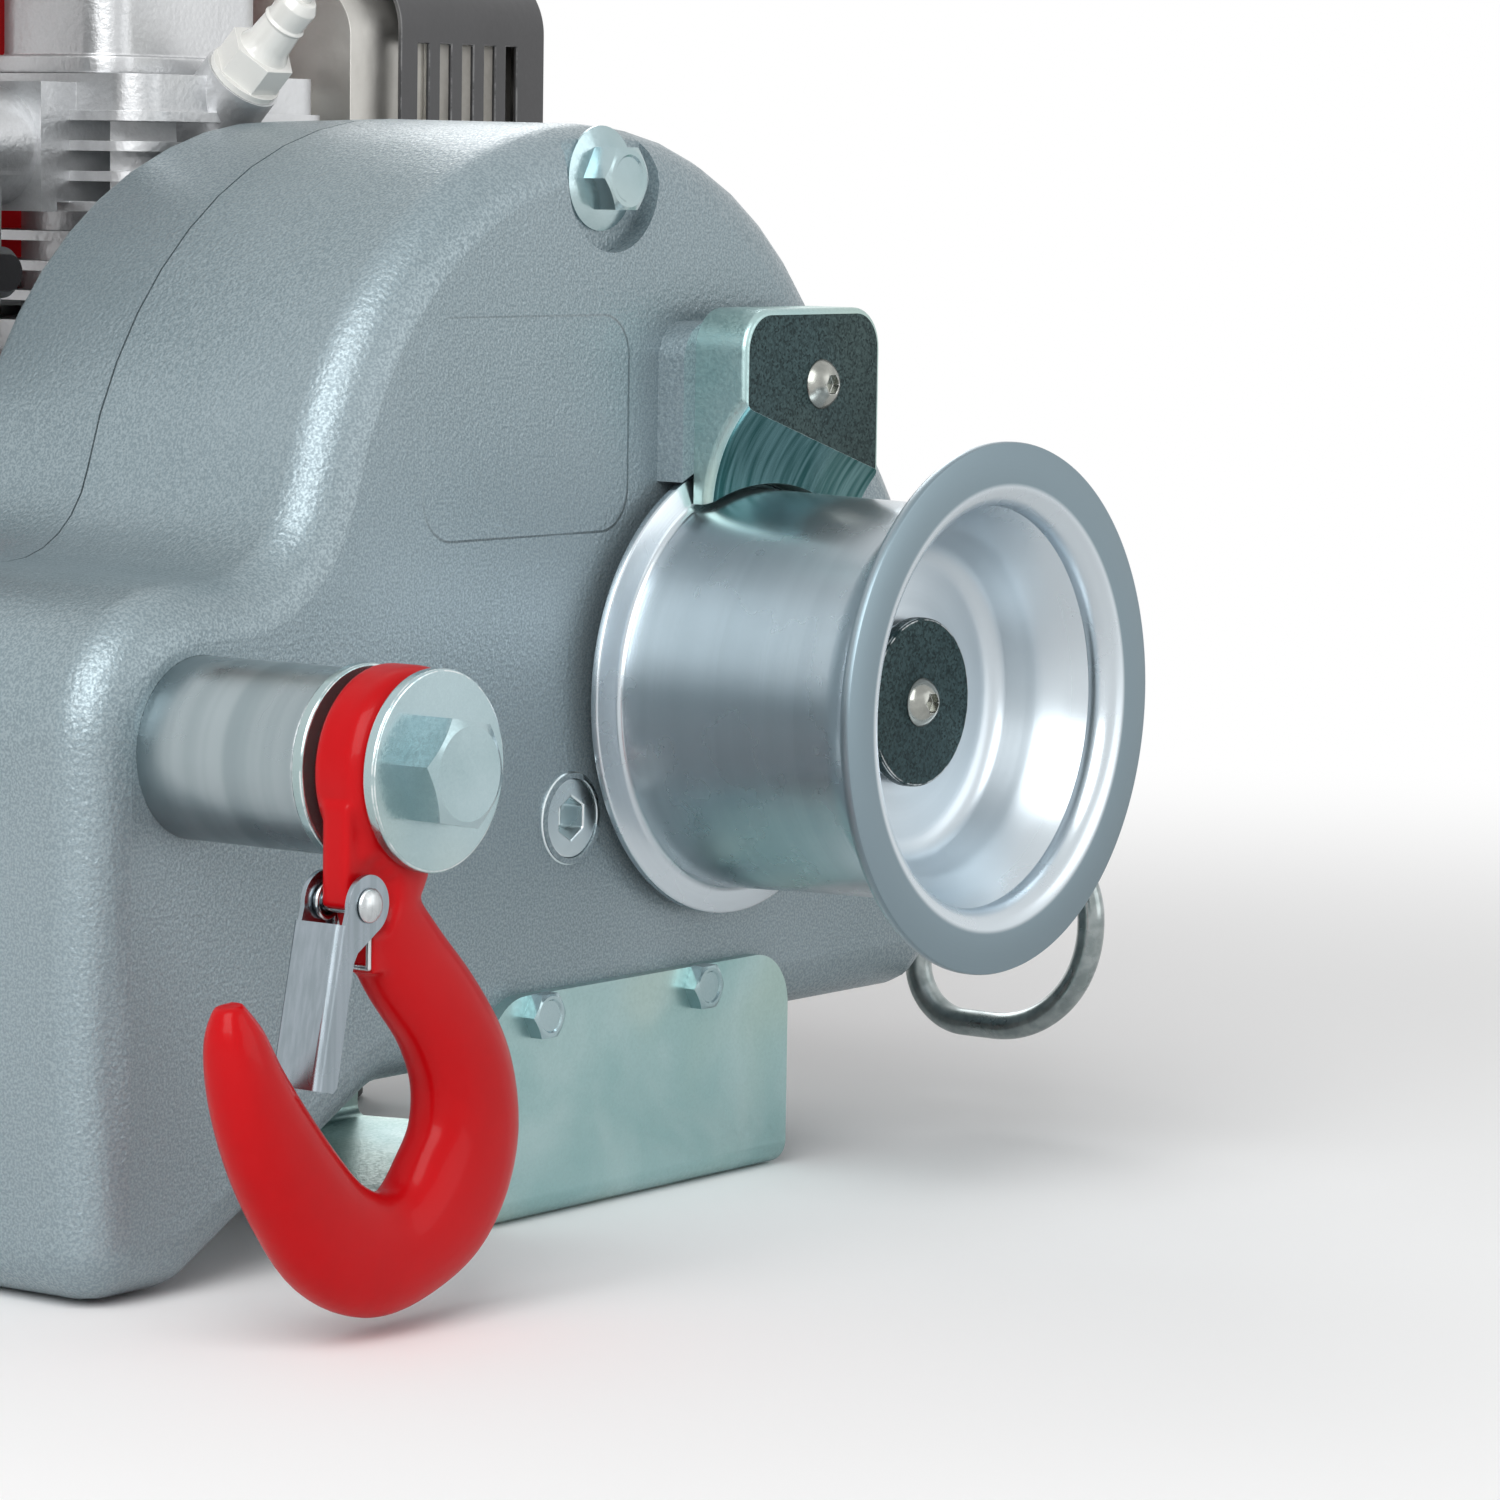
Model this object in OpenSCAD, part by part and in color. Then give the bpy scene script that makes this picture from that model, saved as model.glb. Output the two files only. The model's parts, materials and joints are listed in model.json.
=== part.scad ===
// Portable petrol capstan winch.
// X runs across the winch, Y from the drum towards the engine, Z up from the ground.
// X = 0 is the drum axis and Y = 0 is the front face of the gear housing.

/* [Stance] */
// Height of the drum axis above the ground
axis_h = 108; // [104:0.5:114]

/* [Capstan drum] */
// Barrel diameter beside the back flange
barrel_back_d = 86.4; // [82:0.2:90]
// Barrel diameter beside the front lip
barrel_front_d = 83.6; // [80:0.2:88]
// Diameter of the back flange
back_flange_d = 98.4; // [96:0.2:104]
// Thickness of the back flange at its rim
back_flange_t = 2; // [1.6:0.1:3]
// Diameter of the flared front lip
lip_d = 111.6; // [106:0.2:118]
// Distance from the housing face to the front of the lip
drum_reach = 74.5; // [70:0.5:82]
// Radial width of the flat ring on the lip
lip_ring_w = 9; // [7:0.25:11]
// Diameter of the flat floor of the dish
dish_floor_d = 61; // [56:0.5:66]
// Depth from the lip to the floor of the dish
dish_depth = 25.5; // [22:0.5:28]
// Wall thickness of the drum
drum_wall = 5; // [4:0.25:6]
// Gap between the housing face and the back flange
drum_gap = 3.4; // [2:0.1:4]
// Diameter of the retaining washer
drum_washer_d = 35.8; // [32:0.2:40]
// Thickness of the retaining washer
drum_washer_t = 3; // [2:0.25:4]
// Diameter of the drum hub
drum_hub_d = 33; // [31:0.5:38]

/* [Output shaft] */
// Shaft diameter inside the drum hub
drum_seat_d = 22; // [20:0.5:24]
// Shaft diameter in the front bearing
output_front_d = 25; // [24.5:0.5:26]
// Shaft diameter inside the output gear
gear_seat_d = 24; // [22:0.5:24]
// Shaft diameter in the rear bearing
output_rear_d = 20; // [17:0.5:20.5]
// Width of the square keys
key_w = 6; // [4:0.5:7]

/* [Gear housing] */
// Radius of the large upper arch
arch_r = 97; // [94:0.5:100]
// Centre of the arch from the drum axis, across
arch_x = -38; // [-40:0.5:-36]
// Centre of the arch from the drum axis, upwards
arch_z = 24; // [22:0.5:26]
// Angle of the slanted upper right shoulder
shoulder_angle = 51.9; // [48:0.5:55]
// Distance of the right wall from the drum axis
right_x = 88.5; // [85:0.5:92]
// Depth of the flat underside below the drum axis
under_z = 75.5; // [73:0.5:77]
// Where the flat underside ends on the left
under_left_x = -108; // [-112:1:-100]
// Where the foot meets the ground on its inner side
foot_inner_x = -168; // [-172:1:-160]
// Radius of the rounded end round the anchor bar
lobe_r = 31; // [29:0.5:33]
// Radius of the hollow curve between the arch and the rounded end
waist_r = 24; // [20:0.5:28]
// Radius of the rounded front edge
edge_r = 11; // [8:0.5:11.5]
// Depth of the front casting
front_depth = 62; // [61:0.5:64]
// Thickness of the gasket
gasket_t = 0.5; // [0.4:0.1:1]
// Depth of the rear casting
rear_depth = 35.5; // [34:0.5:38]
// Wall thickness of both castings
wall = 6; // [5:0.25:7]
// Floor thickness of the rear casting
rear_floor = 10; // [9:0.5:11]
// Depth of the flanged bolt's recess
recess_depth = 4; // [3:0.25:5]
// Diameter of the flanged bolt's recess
recess_d = 31; // [26:0.5:33]

/* [Gears] */
// Teeth of the output gear
output_teeth = 45;
// Teeth of the pinion that drives the output gear
third_pinion_teeth = 13;
// Tooth module of the output pair
output_module = 2;
// Teeth of the second gear
second_teeth = 60;
// Teeth of the pinion that drives the second gear
second_pinion_teeth = 12;
// Tooth module of the second pair
second_module = 1.5;
// Teeth of the first gear
first_teeth = 72;
// Teeth of the input pinion
input_teeth = 12;
// Tooth module of the first pair
first_module = 1;
// Play between meshing teeth, along the pitch circle
backlash = 0.24; // [0.16:0.02:0.4]
// Face width of the output gear
output_gear_w = 14; // [12:0.5:15]
// Face width of the second gear
second_gear_w = 9; // [8:0.5:10]
// Face width of the first gear
first_gear_w = 7; // [6:0.5:8]

/* [Bearings] */
// Bore of the small bearings
small_bore = 12; // [11:0.5:12.5]
// Outer diameter of the small bearings
small_od = 28; // [26:0.5:29]
// Width of the small bearings
small_w = 8; // [7:0.5:8.5]
// Outer diameter of the large front bearing
large_od = 52; // [50:0.5:54]
// Width of the large front bearing
large_w = 15; // [14:0.5:16]
// Outer diameter of the rear output bearing
medium_od = 42; // [40:0.5:43]
// Width of the rear output bearing
medium_w = 12; // [11:0.5:13]
// Outer diameter of the shaft seal
seal_od = 40; // [37:0.5:42]

/* [Rope guide] */
// Width of the guide block
guide_w = 49.5; // [46:0.5:54]
// Left edge of the guide block from the drum axis
guide_x = -18.5; // [-21:0.5:-16]
// Top of the guide block above the drum axis
guide_top = 82; // [79:0.5:85]
// Thickness of the guide block
guide_t = 13.25; // [12:0.25:15]
// Thickness of the cast pad behind the guide block
guide_pad_t = 6.75; // [6.5:0.25:8]
// Clearance between the guide block and the barrel
guide_clear = 1.2; // [1:0.1:2]

/* [Base bracket] */
// Thickness of the bracket sheet
sheet_t = 3; // [2.5:0.25:4]
// Left edge of the bracket
bracket_left = -80.8; // [-84:0.5:-78]
// Right edge of the front flange
bracket_right = 23.7; // [20:0.5:27]
// Right edge of the rear flange
bracket_rear_right = -3.8; // [-8:0.5:0]
// Height of the front flange
bracket_h = 48; // [46:0.5:50]
// Inner bend radius of the bracket
bend_r = 2.5; // [2:0.25:4]

/* [Anchor bar and hooks] */
// Distance of the bar axis from the drum axis
bar_x = -166.5; // [-170:0.5:-163]
// Distance of the bar axis below the drum axis
bar_drop = 1; // [0:0.25:2]
// Diameter of the anchor bar
bar_d = 35.6; // [33:0.2:38]
// Distance from the housing face to the outside of the inner washer
bar_reach = 42.6; // [38:0.2:46]
// Diameter of the bar washers
bar_washer_d = 38.4; // [36:0.2:40]
// Thickness of the bar washers
bar_washer_t = 2.8; // [2.4:0.2:3.6]
// Length of the sleeve that the hook turns on
sleeve_l = 14.6; // [13.4:0.2:18]
// Outer diameter of that sleeve
sleeve_d = 19; // [18:0.5:20]
// Thread diameter of the bar bolts
bar_bolt_d = 12; // [10:0.5:13]
// Thickness of the hook's eye
eye_t = 12; // [10:0.5:13]
// Outer radius of the hook's eye
eye_r = 19.4; // [18.4:0.2:21]
// Thickness of the latch sheet
latch_sheet = 1; // [0.8:0.1:1.4]
// Free width inside the latch
latch_inner = 9.8; // [9.4:0.2:11]
// Length of the latch from its rivet
latch_l = 35.2; // [34:0.2:37]
// Diameter of the latch rivet
rivet_d = 4; // [3:0.25:5]
// Lean of the closed latch from the vertical
latch_lean = 12; // [10:0.5:14]

/* [Rope ring] */
// Rod diameter of the rope ring
ring_rod = 6.2; // [5.5:0.1:7]
// Length of the ring along the winch, between rod centres
ring_l = 47.6; // [44:0.4:52]
// Height of the ring, between rod centres
ring_h = 45; // [42:0.5:50]
// Thickness of the plate that carries the ring
ring_plate_t = 6; // [4:0.5:8]

/* [Engine] */
// Height of the crankshaft above the drum axis
crank_up = 25; // [24.5:0.25:25.5]
// Length of the crankcase
case_l = 72; // [70:0.5:76]
// Half width of the crankcase
case_half = 48; // [46:0.5:50]
// Height of the crankcase above the crankshaft
case_top = 45; // [44:0.5:47]
// Depth of the crankcase below the crankshaft
case_under = 57; // [55:0.5:58]
// Crankshaft diameter in its bearings
crank_d = 17; // [16:0.5:18]
// Outer diameter of the crankshaft bearings
crank_od = 40; // [38:0.5:42]
// Width of the crankshaft bearings
crank_w = 12; // [11:0.5:12.5]
// Radius of the mounting flange
flange_r = 66; // [64:0.5:68]
// Radius of the flywheel
flywheel_r = 62; // [58:0.5:64]
// Radius of the fan housing
fan_r = 72; // [70:0.5:74]
// Depth of the fan housing
fan_depth = 44; // [42:0.5:48]
// Radius of the starter cover
starter_r = 60; // [57:0.5:62]
// Depth of the starter cover
starter_depth = 42; // [38:0.5:46]
// Height of the cylinder above the crankcase
cylinder_h = 60; // [58:0.5:62]
// Width of the cooling fins
fin_w = 66; // [62:0.5:68]
// Number of cooling fins
fin_count = 7; // [5:1:8]
// Height of the air duct above the crankshaft
duct_h = 152; // [150:0.5:156]
// Width of the fuel tank
tank_w = 176; // [160:1:184]
// Length of the fuel tank
tank_l = 126; // [116:1:134]
// Height of the fuel tank
tank_h = 58; // [52:1:66]

/* [Clearances] */
// Running clearance round a shaft, on the radius
running = 0.05; // [0.02:0.01:0.1]
// Clearance round a screw or a fixed pin, on the radius
fit = 0.05; // [0.02:0.01:0.1]
// Gap between pieces that only lie close
seat_gap = 0.3; // [0.2:0.05:0.5]

/* [Hidden] */
$fn = 64;

// Small sizes that follow common practice
far = 400;
slip = 0.01;
corner_r = 12;
draft = 0.8;
guide_screw_x = 9.2;
guide_screw_z = 65.7;
washer_inset = 20.7;
plug_place = [-51.1, -24.6];
plug_ring_r = 9.6;
plug_head_r = 8.4;
plug_thread_r = 7;
plug_l = 10;
top_bolt_place = [arch_x - 0.5, arch_z + arch_r - 12];
bracket_bolt_places = [[-9.3, -64.4], [-64.5, -64.4]];
rear_bolt_places = [[-20, -65.5], [-62, -65.5]];
cover_bolt_places = [[-118, 56], [-113, -60], [10, -65], [right_x - 13, -61], [right_x - 16, 8], [31, 74]];
boss_r = 7.5;
ring_bolt_places = [[31, -45], [31, -59]];

// Axes of the gear train, from the drum axis
output_pitch = output_module * (output_teeth + third_pinion_teeth) / 2;
second_pitch = second_module * (second_teeth + second_pinion_teeth) / 2;
first_pitch = first_module * (first_teeth + input_teeth) / 2;
function corner_between(p, q, from_p, from_q) =
    let (d = norm(q - p), along = (from_p ^ 2 - from_q ^ 2 + d ^ 2) / (2 * d),
         up = sqrt(from_p ^ 2 - along ^ 2), e = (q - p) / d)
    p + along * e + up * [-e[1], e[0]];
output_axis = [0, 0];
input_axis = [arch_x, crank_up];
second_axis = [-output_pitch, 0];
first_axis = corner_between(second_axis, input_axis, second_pitch, first_pitch);
crank_z = axis_h + crank_up;

// Depths along Y
lip_y = -drum_reach;
hub_face_y = lip_y + washer_inset + drum_washer_t;
rear_y0 = front_depth + gasket_t;
rear_y = rear_y0 + rear_depth;
output_gear_y = wall + large_w + 1.5;
second_gear_y = output_gear_y + output_gear_w + 3.5;
first_gear_y = second_gear_y + second_gear_w + 3;
pinion_over = 1;
case_y = rear_y + case_l;
fan_y = case_y + fan_depth;
starter_y = fan_y + starter_depth;

// Radii of shafts, after their running clearance
output_front_r = output_front_d / 2 - running;
output_rear_r = output_rear_d / 2 - running;
drum_seat_r = drum_seat_d / 2 - running;
gear_seat_r = gear_seat_d / 2 - running;
small_r = small_bore / 2 - running;
crank_r = crank_d / 2 - running;
bar_r = bar_d / 2;
sleeve_r = sleeve_d / 2;

function unit(v) = v / norm(v);
function turned(v, a) = [v[0] * cos(a) - v[1] * sin(a), v[0] * sin(a) + v[1] * cos(a)];
function bearing_of(v) = atan2(v[1], v[0]);
function arc(centre, r, from, to, steps) =
    [for (k = [0 : steps]) centre + r * [cos(from + (to - from) * k / steps), sin(from + (to - from) * k / steps)]];

// A rounded corner as samples of [point, outward normal], for an outline that runs anticlockwise
function corner_samples(before, at, after, r) =
    let (u = unit(at - before), v = unit(after - at), side = sign(u[0] * v[1] - u[1] * v[0]),
         half = acos(u * v) / 2, start = at - u * r * tan(half), out = [u[1], -u[0]],
         centre = start - side * r * out, steps = max(2, ceil(2 * half / (r > 40 ? 7.5 : 15))))
    [for (k = [0 : steps]) let (n = turned(out, side * 2 * half * k / steps)) [centre + side * r * n, n]];
function outline_samples(corners) =
    let (last = len(corners) - 1,
         all = [for (i = [0 : last])
             each corner_samples([corners[(i + last) % (last + 1)][0], corners[(i + last) % (last + 1)][1]],
                                 [corners[i][0], corners[i][1]],
                                 [corners[(i + 1) % (last + 1)][0], corners[(i + 1) % (last + 1)][1]],
                                 corners[i][2])])
    [for (i = [0 : len(all) - 1]) if (norm(all[i][0] - all[(i + len(all) - 1) % len(all)][0]) > 0.02) all[i]];
function inset(samples, d) = [for (s = samples) s[0] - d * s[1]];

// Corners of the housing: arch, waist, rounded end, foot, underside and shoulder
arch = [arch_x, arch_z];
arch_top = arch_z + arch_r;
waist_up = lobe_r + waist_r - arch_z;
waist_centre = [arch_x - sqrt((arch_r + waist_r) ^ 2 - waist_up ^ 2), lobe_r + waist_r];
waist_dir = unit(waist_centre - arch);
waist_touch = arch + arch_r * waist_dir;
waist_slope = [waist_dir[1], -waist_dir[0]];
shoulder_z = arch_z + (arch_r - sin(shoulder_angle) * (right_x - arch_x)) / cos(shoulder_angle);
housing_corners = [
    [arch_x + arch_r * tan(shoulder_angle / 2), arch_top, arch_r],
    [waist_touch[0] + waist_slope[0] * (arch_top - waist_touch[1]) / waist_slope[1], arch_top, arch_r],
    [waist_touch[0] - waist_slope[0] * (waist_touch[1] - lobe_r) / waist_slope[1], lobe_r, waist_r],
    [bar_x - lobe_r, lobe_r, lobe_r],
    [bar_x - lobe_r, -axis_h, corner_r],
    [foot_inner_x, -axis_h, corner_r],
    [under_left_x, -under_z, corner_r],
    [right_x, -under_z, corner_r],
    [right_x, shoulder_z, arch_r]
];
housing_samples = outline_samples(housing_corners);
web_x = bar_x + lobe_r + 13.5;
web_t = 6;

module y_rod(r, from, to, at = [0, 0]) {
    translate([at[0], from, at[1]]) rotate([-90, 0, 0]) cylinder(r = r, h = to - from);
}
module y_turn(at = [0, 0]) {
    translate([at[0], 0, at[1]]) rotate([-90, 0, 0]) rotate_extrude() children();
}
module xz_plate(from, to) {
    translate([0, to, 0]) rotate([90, 0, 0]) linear_extrude(to - from) children();
}
module at_axis() {
    translate([0, 0, axis_h]) children();
}
module at_crank() {
    translate([arch_x, 0, crank_z]) children();
}
module round_rect(low, high, r) {
    translate([low[0] + r, low[1]]) square([high[0] - low[0] - 2 * r, high[1] - low[1]]);
    translate([low[0], low[1] + r]) square([high[0] - low[0], high[1] - low[1] - 2 * r]);
    for (x = [low[0] + r, high[0] - r], y = [low[1] + r, high[1] - r]) translate([x, y]) circle(r);
}
// A body lofted through insets of one outline, each station being [y, inset]
// The loft runs on past both ends, where a plain block cuts it flat
module outline_loft(samples, stations) {
    n = len(samples);
    first = stations[0];
    last = stations[len(stations) - 1];
    long = concat([first - [1, 0], first + [slip, 0]], [for (i = [1 : len(stations) - 2]) stations[i]],
                  [last - [slip, 0], last + [1, 0]]);
    rings = len(long);
    points = [for (st = long) each [for (p = inset(samples, st[1])) [p[0], st[0], p[1]]]];
    sides = [for (i = [0 : rings - 2], j = [0 : n - 1])
        [i * n + j, i * n + (j + 1) % n, (i + 1) * n + (j + 1) % n, (i + 1) * n + j]];
    intersection() {
        polyhedron(points, concat([[for (j = [n - 1 : -1 : 0]) j]], sides,
                                  [[for (j = [0 : n - 1]) (rings - 1) * n + j]]), convexity = 8);
        xz_plate(first[0], last[0]) square([2 * far, 2 * far], center = true);
    }
}
module hex_head(across, h) {
    intersection() {
        cylinder(r = across / 2 / cos(30), h = h, $fn = 6);
        union() {
            cylinder(r = across, h = h * 0.86);
            translate([0, 0, h * 0.86 - slip]) cylinder(r1 = across * 0.6, r2 = across * 0.5, h = h * 0.14 + slip);
        }
    }
}
// A screw that points along +Z, with the underside of its head at z = 0
module hex_bolt(d, l, across, head_h, flange_d = 0) {
    translate([0, 0, -head_h]) mirror([0, 0, 1]) translate([0, 0, -head_h]) hex_head(across, head_h);
    if (flange_d > 0) translate([0, 0, -1.6]) cylinder(r1 = across * 0.56, r2 = flange_d / 2, h = 1.6);
    translate([0, 0, -slip]) cylinder(r = d / 2, h = l);
}
module button_screw(d, l, head_d, head_h, socket) {
    cap_r = (head_h ^ 2 + (head_d / 2) ^ 2) / (2 * head_h);
    difference() {
        union() {
            intersection() {
                translate([0, 0, cap_r - head_h]) sphere(cap_r);
                translate([0, 0, -head_h]) cylinder(r = head_d / 2, h = head_h);
            }
            translate([0, 0, -slip]) cylinder(r = d / 2, h = l);
        }
        translate([0, 0, -head_h - 1]) cylinder(r = socket / 2 / cos(30), h = 1 + head_h * 0.62, $fn = 6);
    }
}
// Points a Z-pointing screw into the housing from the front, and out of it from the back
module from_front(at, y) {
    translate([at[0], y, axis_h + at[1]]) rotate([-90, 0, 0]) children();
}
module from_back(at, y) {
    translate([at[0], y, axis_h + at[1]]) rotate([90, 0, 0]) children();
}

// An involute spur gear outline with long pinion teeth and short wheel teeth
shift = 0.35;
pressure = 20;
function involute(a) = tan(a) * 180 / PI - a;
function gear_points(teeth, size, moved) =
    let (r = teeth * size / 2, base = r * cos(pressure), tip = r + size * (1 + moved),
         root = r - size * (1.25 - moved), start = max(root, base + slip),
         half = 90 / teeth + moved * 2 * tan(pressure) * 180 / PI / teeth - backlash / 4 / r * 180 / PI
             + involute(pressure),
         radii = [start, (start + tip) / 2, tip],
         angles = [for (q = radii) half - involute(acos(base / q))],
         foot = root < base ? [[root, angles[0]]] : [],
         flank = concat(foot, [for (k = [0 : 2]) [radii[k], angles[k]]]))
    [for (t = [0 : teeth - 1], side = [-1, 1])
        each [for (k = side < 0 ? [0 : len(flank) - 1] : [len(flank) - 1 : -1 : 0])
            flank[k][0] * [cos(360 * t / teeth + side * flank[k][1]), sin(360 * t / teeth + side * flank[k][1])]]];
module gear_teeth(teeth, size, moved, from, w, at, phase) {
    translate([at[0], 0, at[1]]) xz_plate(from, from + w) rotate(phase) polygon(gear_points(teeth, size, moved));
}
third_dir = bearing_of(second_axis - output_axis);
second_dir = bearing_of(first_axis - second_axis);
first_dir = bearing_of(input_axis - first_axis);

// The inside of the castings, as flat shapes
module oil_space(d = wall) {
    intersection() {
        polygon(inset(housing_samples, d));
        translate([web_x, -far / 2]) square([far, far]);
    }
}
module foot_space(d = wall) {
    difference() {
        intersection() {
            polygon(inset(housing_samples, d));
            translate([web_x - web_t - far, -far / 2]) square([far, far]);
        }
        translate(bar_at) circle(bar_r + wall);
    }
}
module bolt_bosses() {
    for (p = cover_bolt_places) translate(p) circle(boss_r);
    translate(top_bolt_place) circle(boss_r + 2);
}
module bolt_holes(r) {
    for (p = cover_bolt_places) translate(p) circle(r);
}

cast = [0.62, 0.66, 0.68];
zinc = [0.72, 0.78, 0.74];
steel = [0.6, 0.61, 0.63];
bright = [0.8, 0.82, 0.84];
hook_red = [0.82, 0.08, 0.1];
black = [0.12, 0.12, 0.13];

fillet_steps = 5;
edge = min(edge_r, corner_r - draft - 0.2);
front_stations = concat(
    [for (k = [0 : fillet_steps]) let (a = 90 * k / fillet_steps)
        [edge * (1 - cos(a)), edge * (1 - sin(a)) + draft * (1 - edge * (1 - cos(a)) / front_depth)]],
    [[front_depth, 0]]);

module housing_front() {
    color(cast) at_axis() difference() {
        union() {
            difference() {
                union() {
                    outline_loft(housing_samples, front_stations);
                    xz_plate(-guide_pad_t, 2) round_rect([guide_x - 4, 36], [guide_x + guide_w, guide_top - 3], 8);
                    for (p = bracket_bolt_places)
                        xz_plate(0, edge) round_rect(p - [9, 9.5], p + [9, 5], 4);
                }
                xz_plate(wall, front_depth + 1) difference() {
                    oil_space();
                    bolt_bosses();
                }
                xz_plate(wall, front_depth + 1) foot_space();
            }
            y_rod(large_od / 2 + 5, wall - 1, wall + large_w, output_axis);
            for (p = [second_axis, first_axis])
                y_rod(small_od / 2 + 3.5, wall - 1, wall + small_w, p);
            translate([plug_place[0], 0, plug_place[1]]) difference() {
                y_rod(plug_ring_r, -0.8, 1);
                y_rod(plug_head_r + fit, -1, 0);
            }
            for (p = bracket_bolt_places) y_rod(5.5, wall - 1, 18, p);
            y_rod(6, wall - 1, 16, [guide_screw_x, guide_screw_z]);
            for (p = ring_bolt_places)
                translate([right_x - 19, p[0], p[1]]) rotate([0, 90, 0]) cylinder(r = 6, h = 15);
        }
        y_rod(seal_od / 2 + fit, -1, wall + 1, output_axis);
        y_rod(large_od / 2 + fit, wall, wall + large_w + 1, output_axis);
        for (p = [second_axis, first_axis]) y_rod(small_od / 2 + fit, wall, wall + small_w + 1, p);
        y_rod(recess_d / 2, -1, recess_depth, top_bolt_place);
        y_rod(4 + fit, -1, far, top_bolt_place);
        xz_plate(front_depth - 22, front_depth + 1) bolt_holes(3 + fit);
        for (p = bracket_bolt_places) y_rod(3 + fit, -1, 15, p);
        y_rod(3 + fit, -guide_pad_t - 1, 13, [guide_screw_x, guide_screw_z]);
        y_rod(plug_thread_r + fit, -2, far / 2, plug_place);
        y_rod(plug_head_r + fit, -2, 2, plug_place);
        y_rod(bar_r + fit, -1, far, bar_at);
        y_turn() polygon([[0, lip_y], [back_flange_d / 2 + 1.2, lip_y], [back_flange_d / 2 + 1.2, 0], [0, 0]]);
        for (p = ring_bolt_places)
            translate([right_x + 1, p[0], p[1]]) rotate([0, -90, 0]) cylinder(r = 3 + fit, h = 16);
    }
}
module housing_gasket() {
    color(black) at_axis() xz_plate(front_depth, rear_y0) difference() {
        polygon(inset(housing_samples, 0.6));
        difference() {
            oil_space();
            bolt_bosses();
        }
        foot_space();
        bolt_holes(3.2);
        translate(top_bolt_place) circle(4.2);
        translate(bar_at) circle(bar_r + 0.3);
    }
}
bell_r = 45;
bell_wall = 5;
mount_bolt_places = [for (a = [45 : 90 : 315]) input_axis + 57 * [cos(a), sin(a)]];
rib_angles = [0, 30, 90, 150, 180, 215, 262, 300, 335];
module rear_kept() {
    translate(input_axis) circle(bell_r + bell_wall);
    translate(output_axis) circle(medium_od / 2 + 5);
    bolt_bosses();
    for (p = mount_bolt_places) translate(p) circle(8.5);
    for (p = rear_bolt_places) translate(p) circle(8.5);
    translate(input_axis) for (a = rib_angles)
        rotate(a) translate([bell_r + 1, -2]) square([90, 4]);
}
module housing_rear() {
    color(cast) at_axis() difference() {
        outline_loft(housing_samples, [[rear_y0, 0], [rear_y - 3, draft], [rear_y - 0.8, draft + 0.9],
                                       [rear_y, draft + 3]]);
        xz_plate(rear_y0 + rear_floor, rear_y + 1) difference() {
            oil_space(wall + draft);
            rear_kept();
        }
        xz_plate(rear_y0 + rear_floor, rear_y + 1) foot_space(wall + draft);
        y_rod(bell_r, rear_y0 + rear_floor + small_w, rear_y + 1, input_axis);
        y_rod(small_od / 2 + fit, rear_y0 - 1, rear_y0 + small_w, input_axis);
        y_rod(small_od / 2 - 2.5, rear_y0 - 1, far, input_axis);
        y_rod(small_od / 2 + fit, rear_y0 + rear_floor, rear_y0 + rear_floor + small_w + 1, input_axis);
        for (p = [second_axis, first_axis]) y_rod(small_od / 2 + fit, rear_y0 - 1, rear_y0 + small_w, p);
        y_rod(medium_od / 2 + fit, rear_y0 - 1, rear_y0 + medium_w, output_axis);
        xz_plate(rear_y0 - 1, rear_y + 1) bolt_holes(3 + fit);
        y_rod(4 + fit, rear_y0 - 1, rear_y0 + 20, top_bolt_place);
        for (p = concat(mount_bolt_places, rear_bolt_places)) y_rod(3 + fit, rear_y - 14, rear_y + 1, p);
        y_rod(bar_r + fit, 0, far, bar_at);
    }
}
// The bolts that hold the castings and the engine together
module casting_bolts() {
    color(zinc) {
        from_front(top_bolt_place, recess_depth) hex_bolt(8, rear_y0 + 18 - recess_depth, 13, 8, 22);
        for (p = cover_bolt_places) from_back(p, rear_y) hex_bolt(6, rear_y - front_depth + 20, 10, 6, 14);
        for (p = mount_bolt_places) from_back(p, rear_y + flange_t) hex_bolt(6, flange_t + 12, 10, 6);
        at_crank() {
            for (p = lug_places) translate([p[0], case_y + lug_t, p[1]]) rotate([90, 0, 0]) hex_bolt(5, 17, 8, 4);
            for (p = foot_bolt_places) translate([p[0], p[1], -case_under - sheet_t]) hex_bolt(6, 15, 10, 4.6);
            for (x = [-1, 1], y = [-1, 1])
                translate([x * 25, cylinder_y + y * 25, case_top + base_t]) mirror([0, 0, 1]) hex_bolt(6, 16, 10, 5);
        }
    }
}
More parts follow.
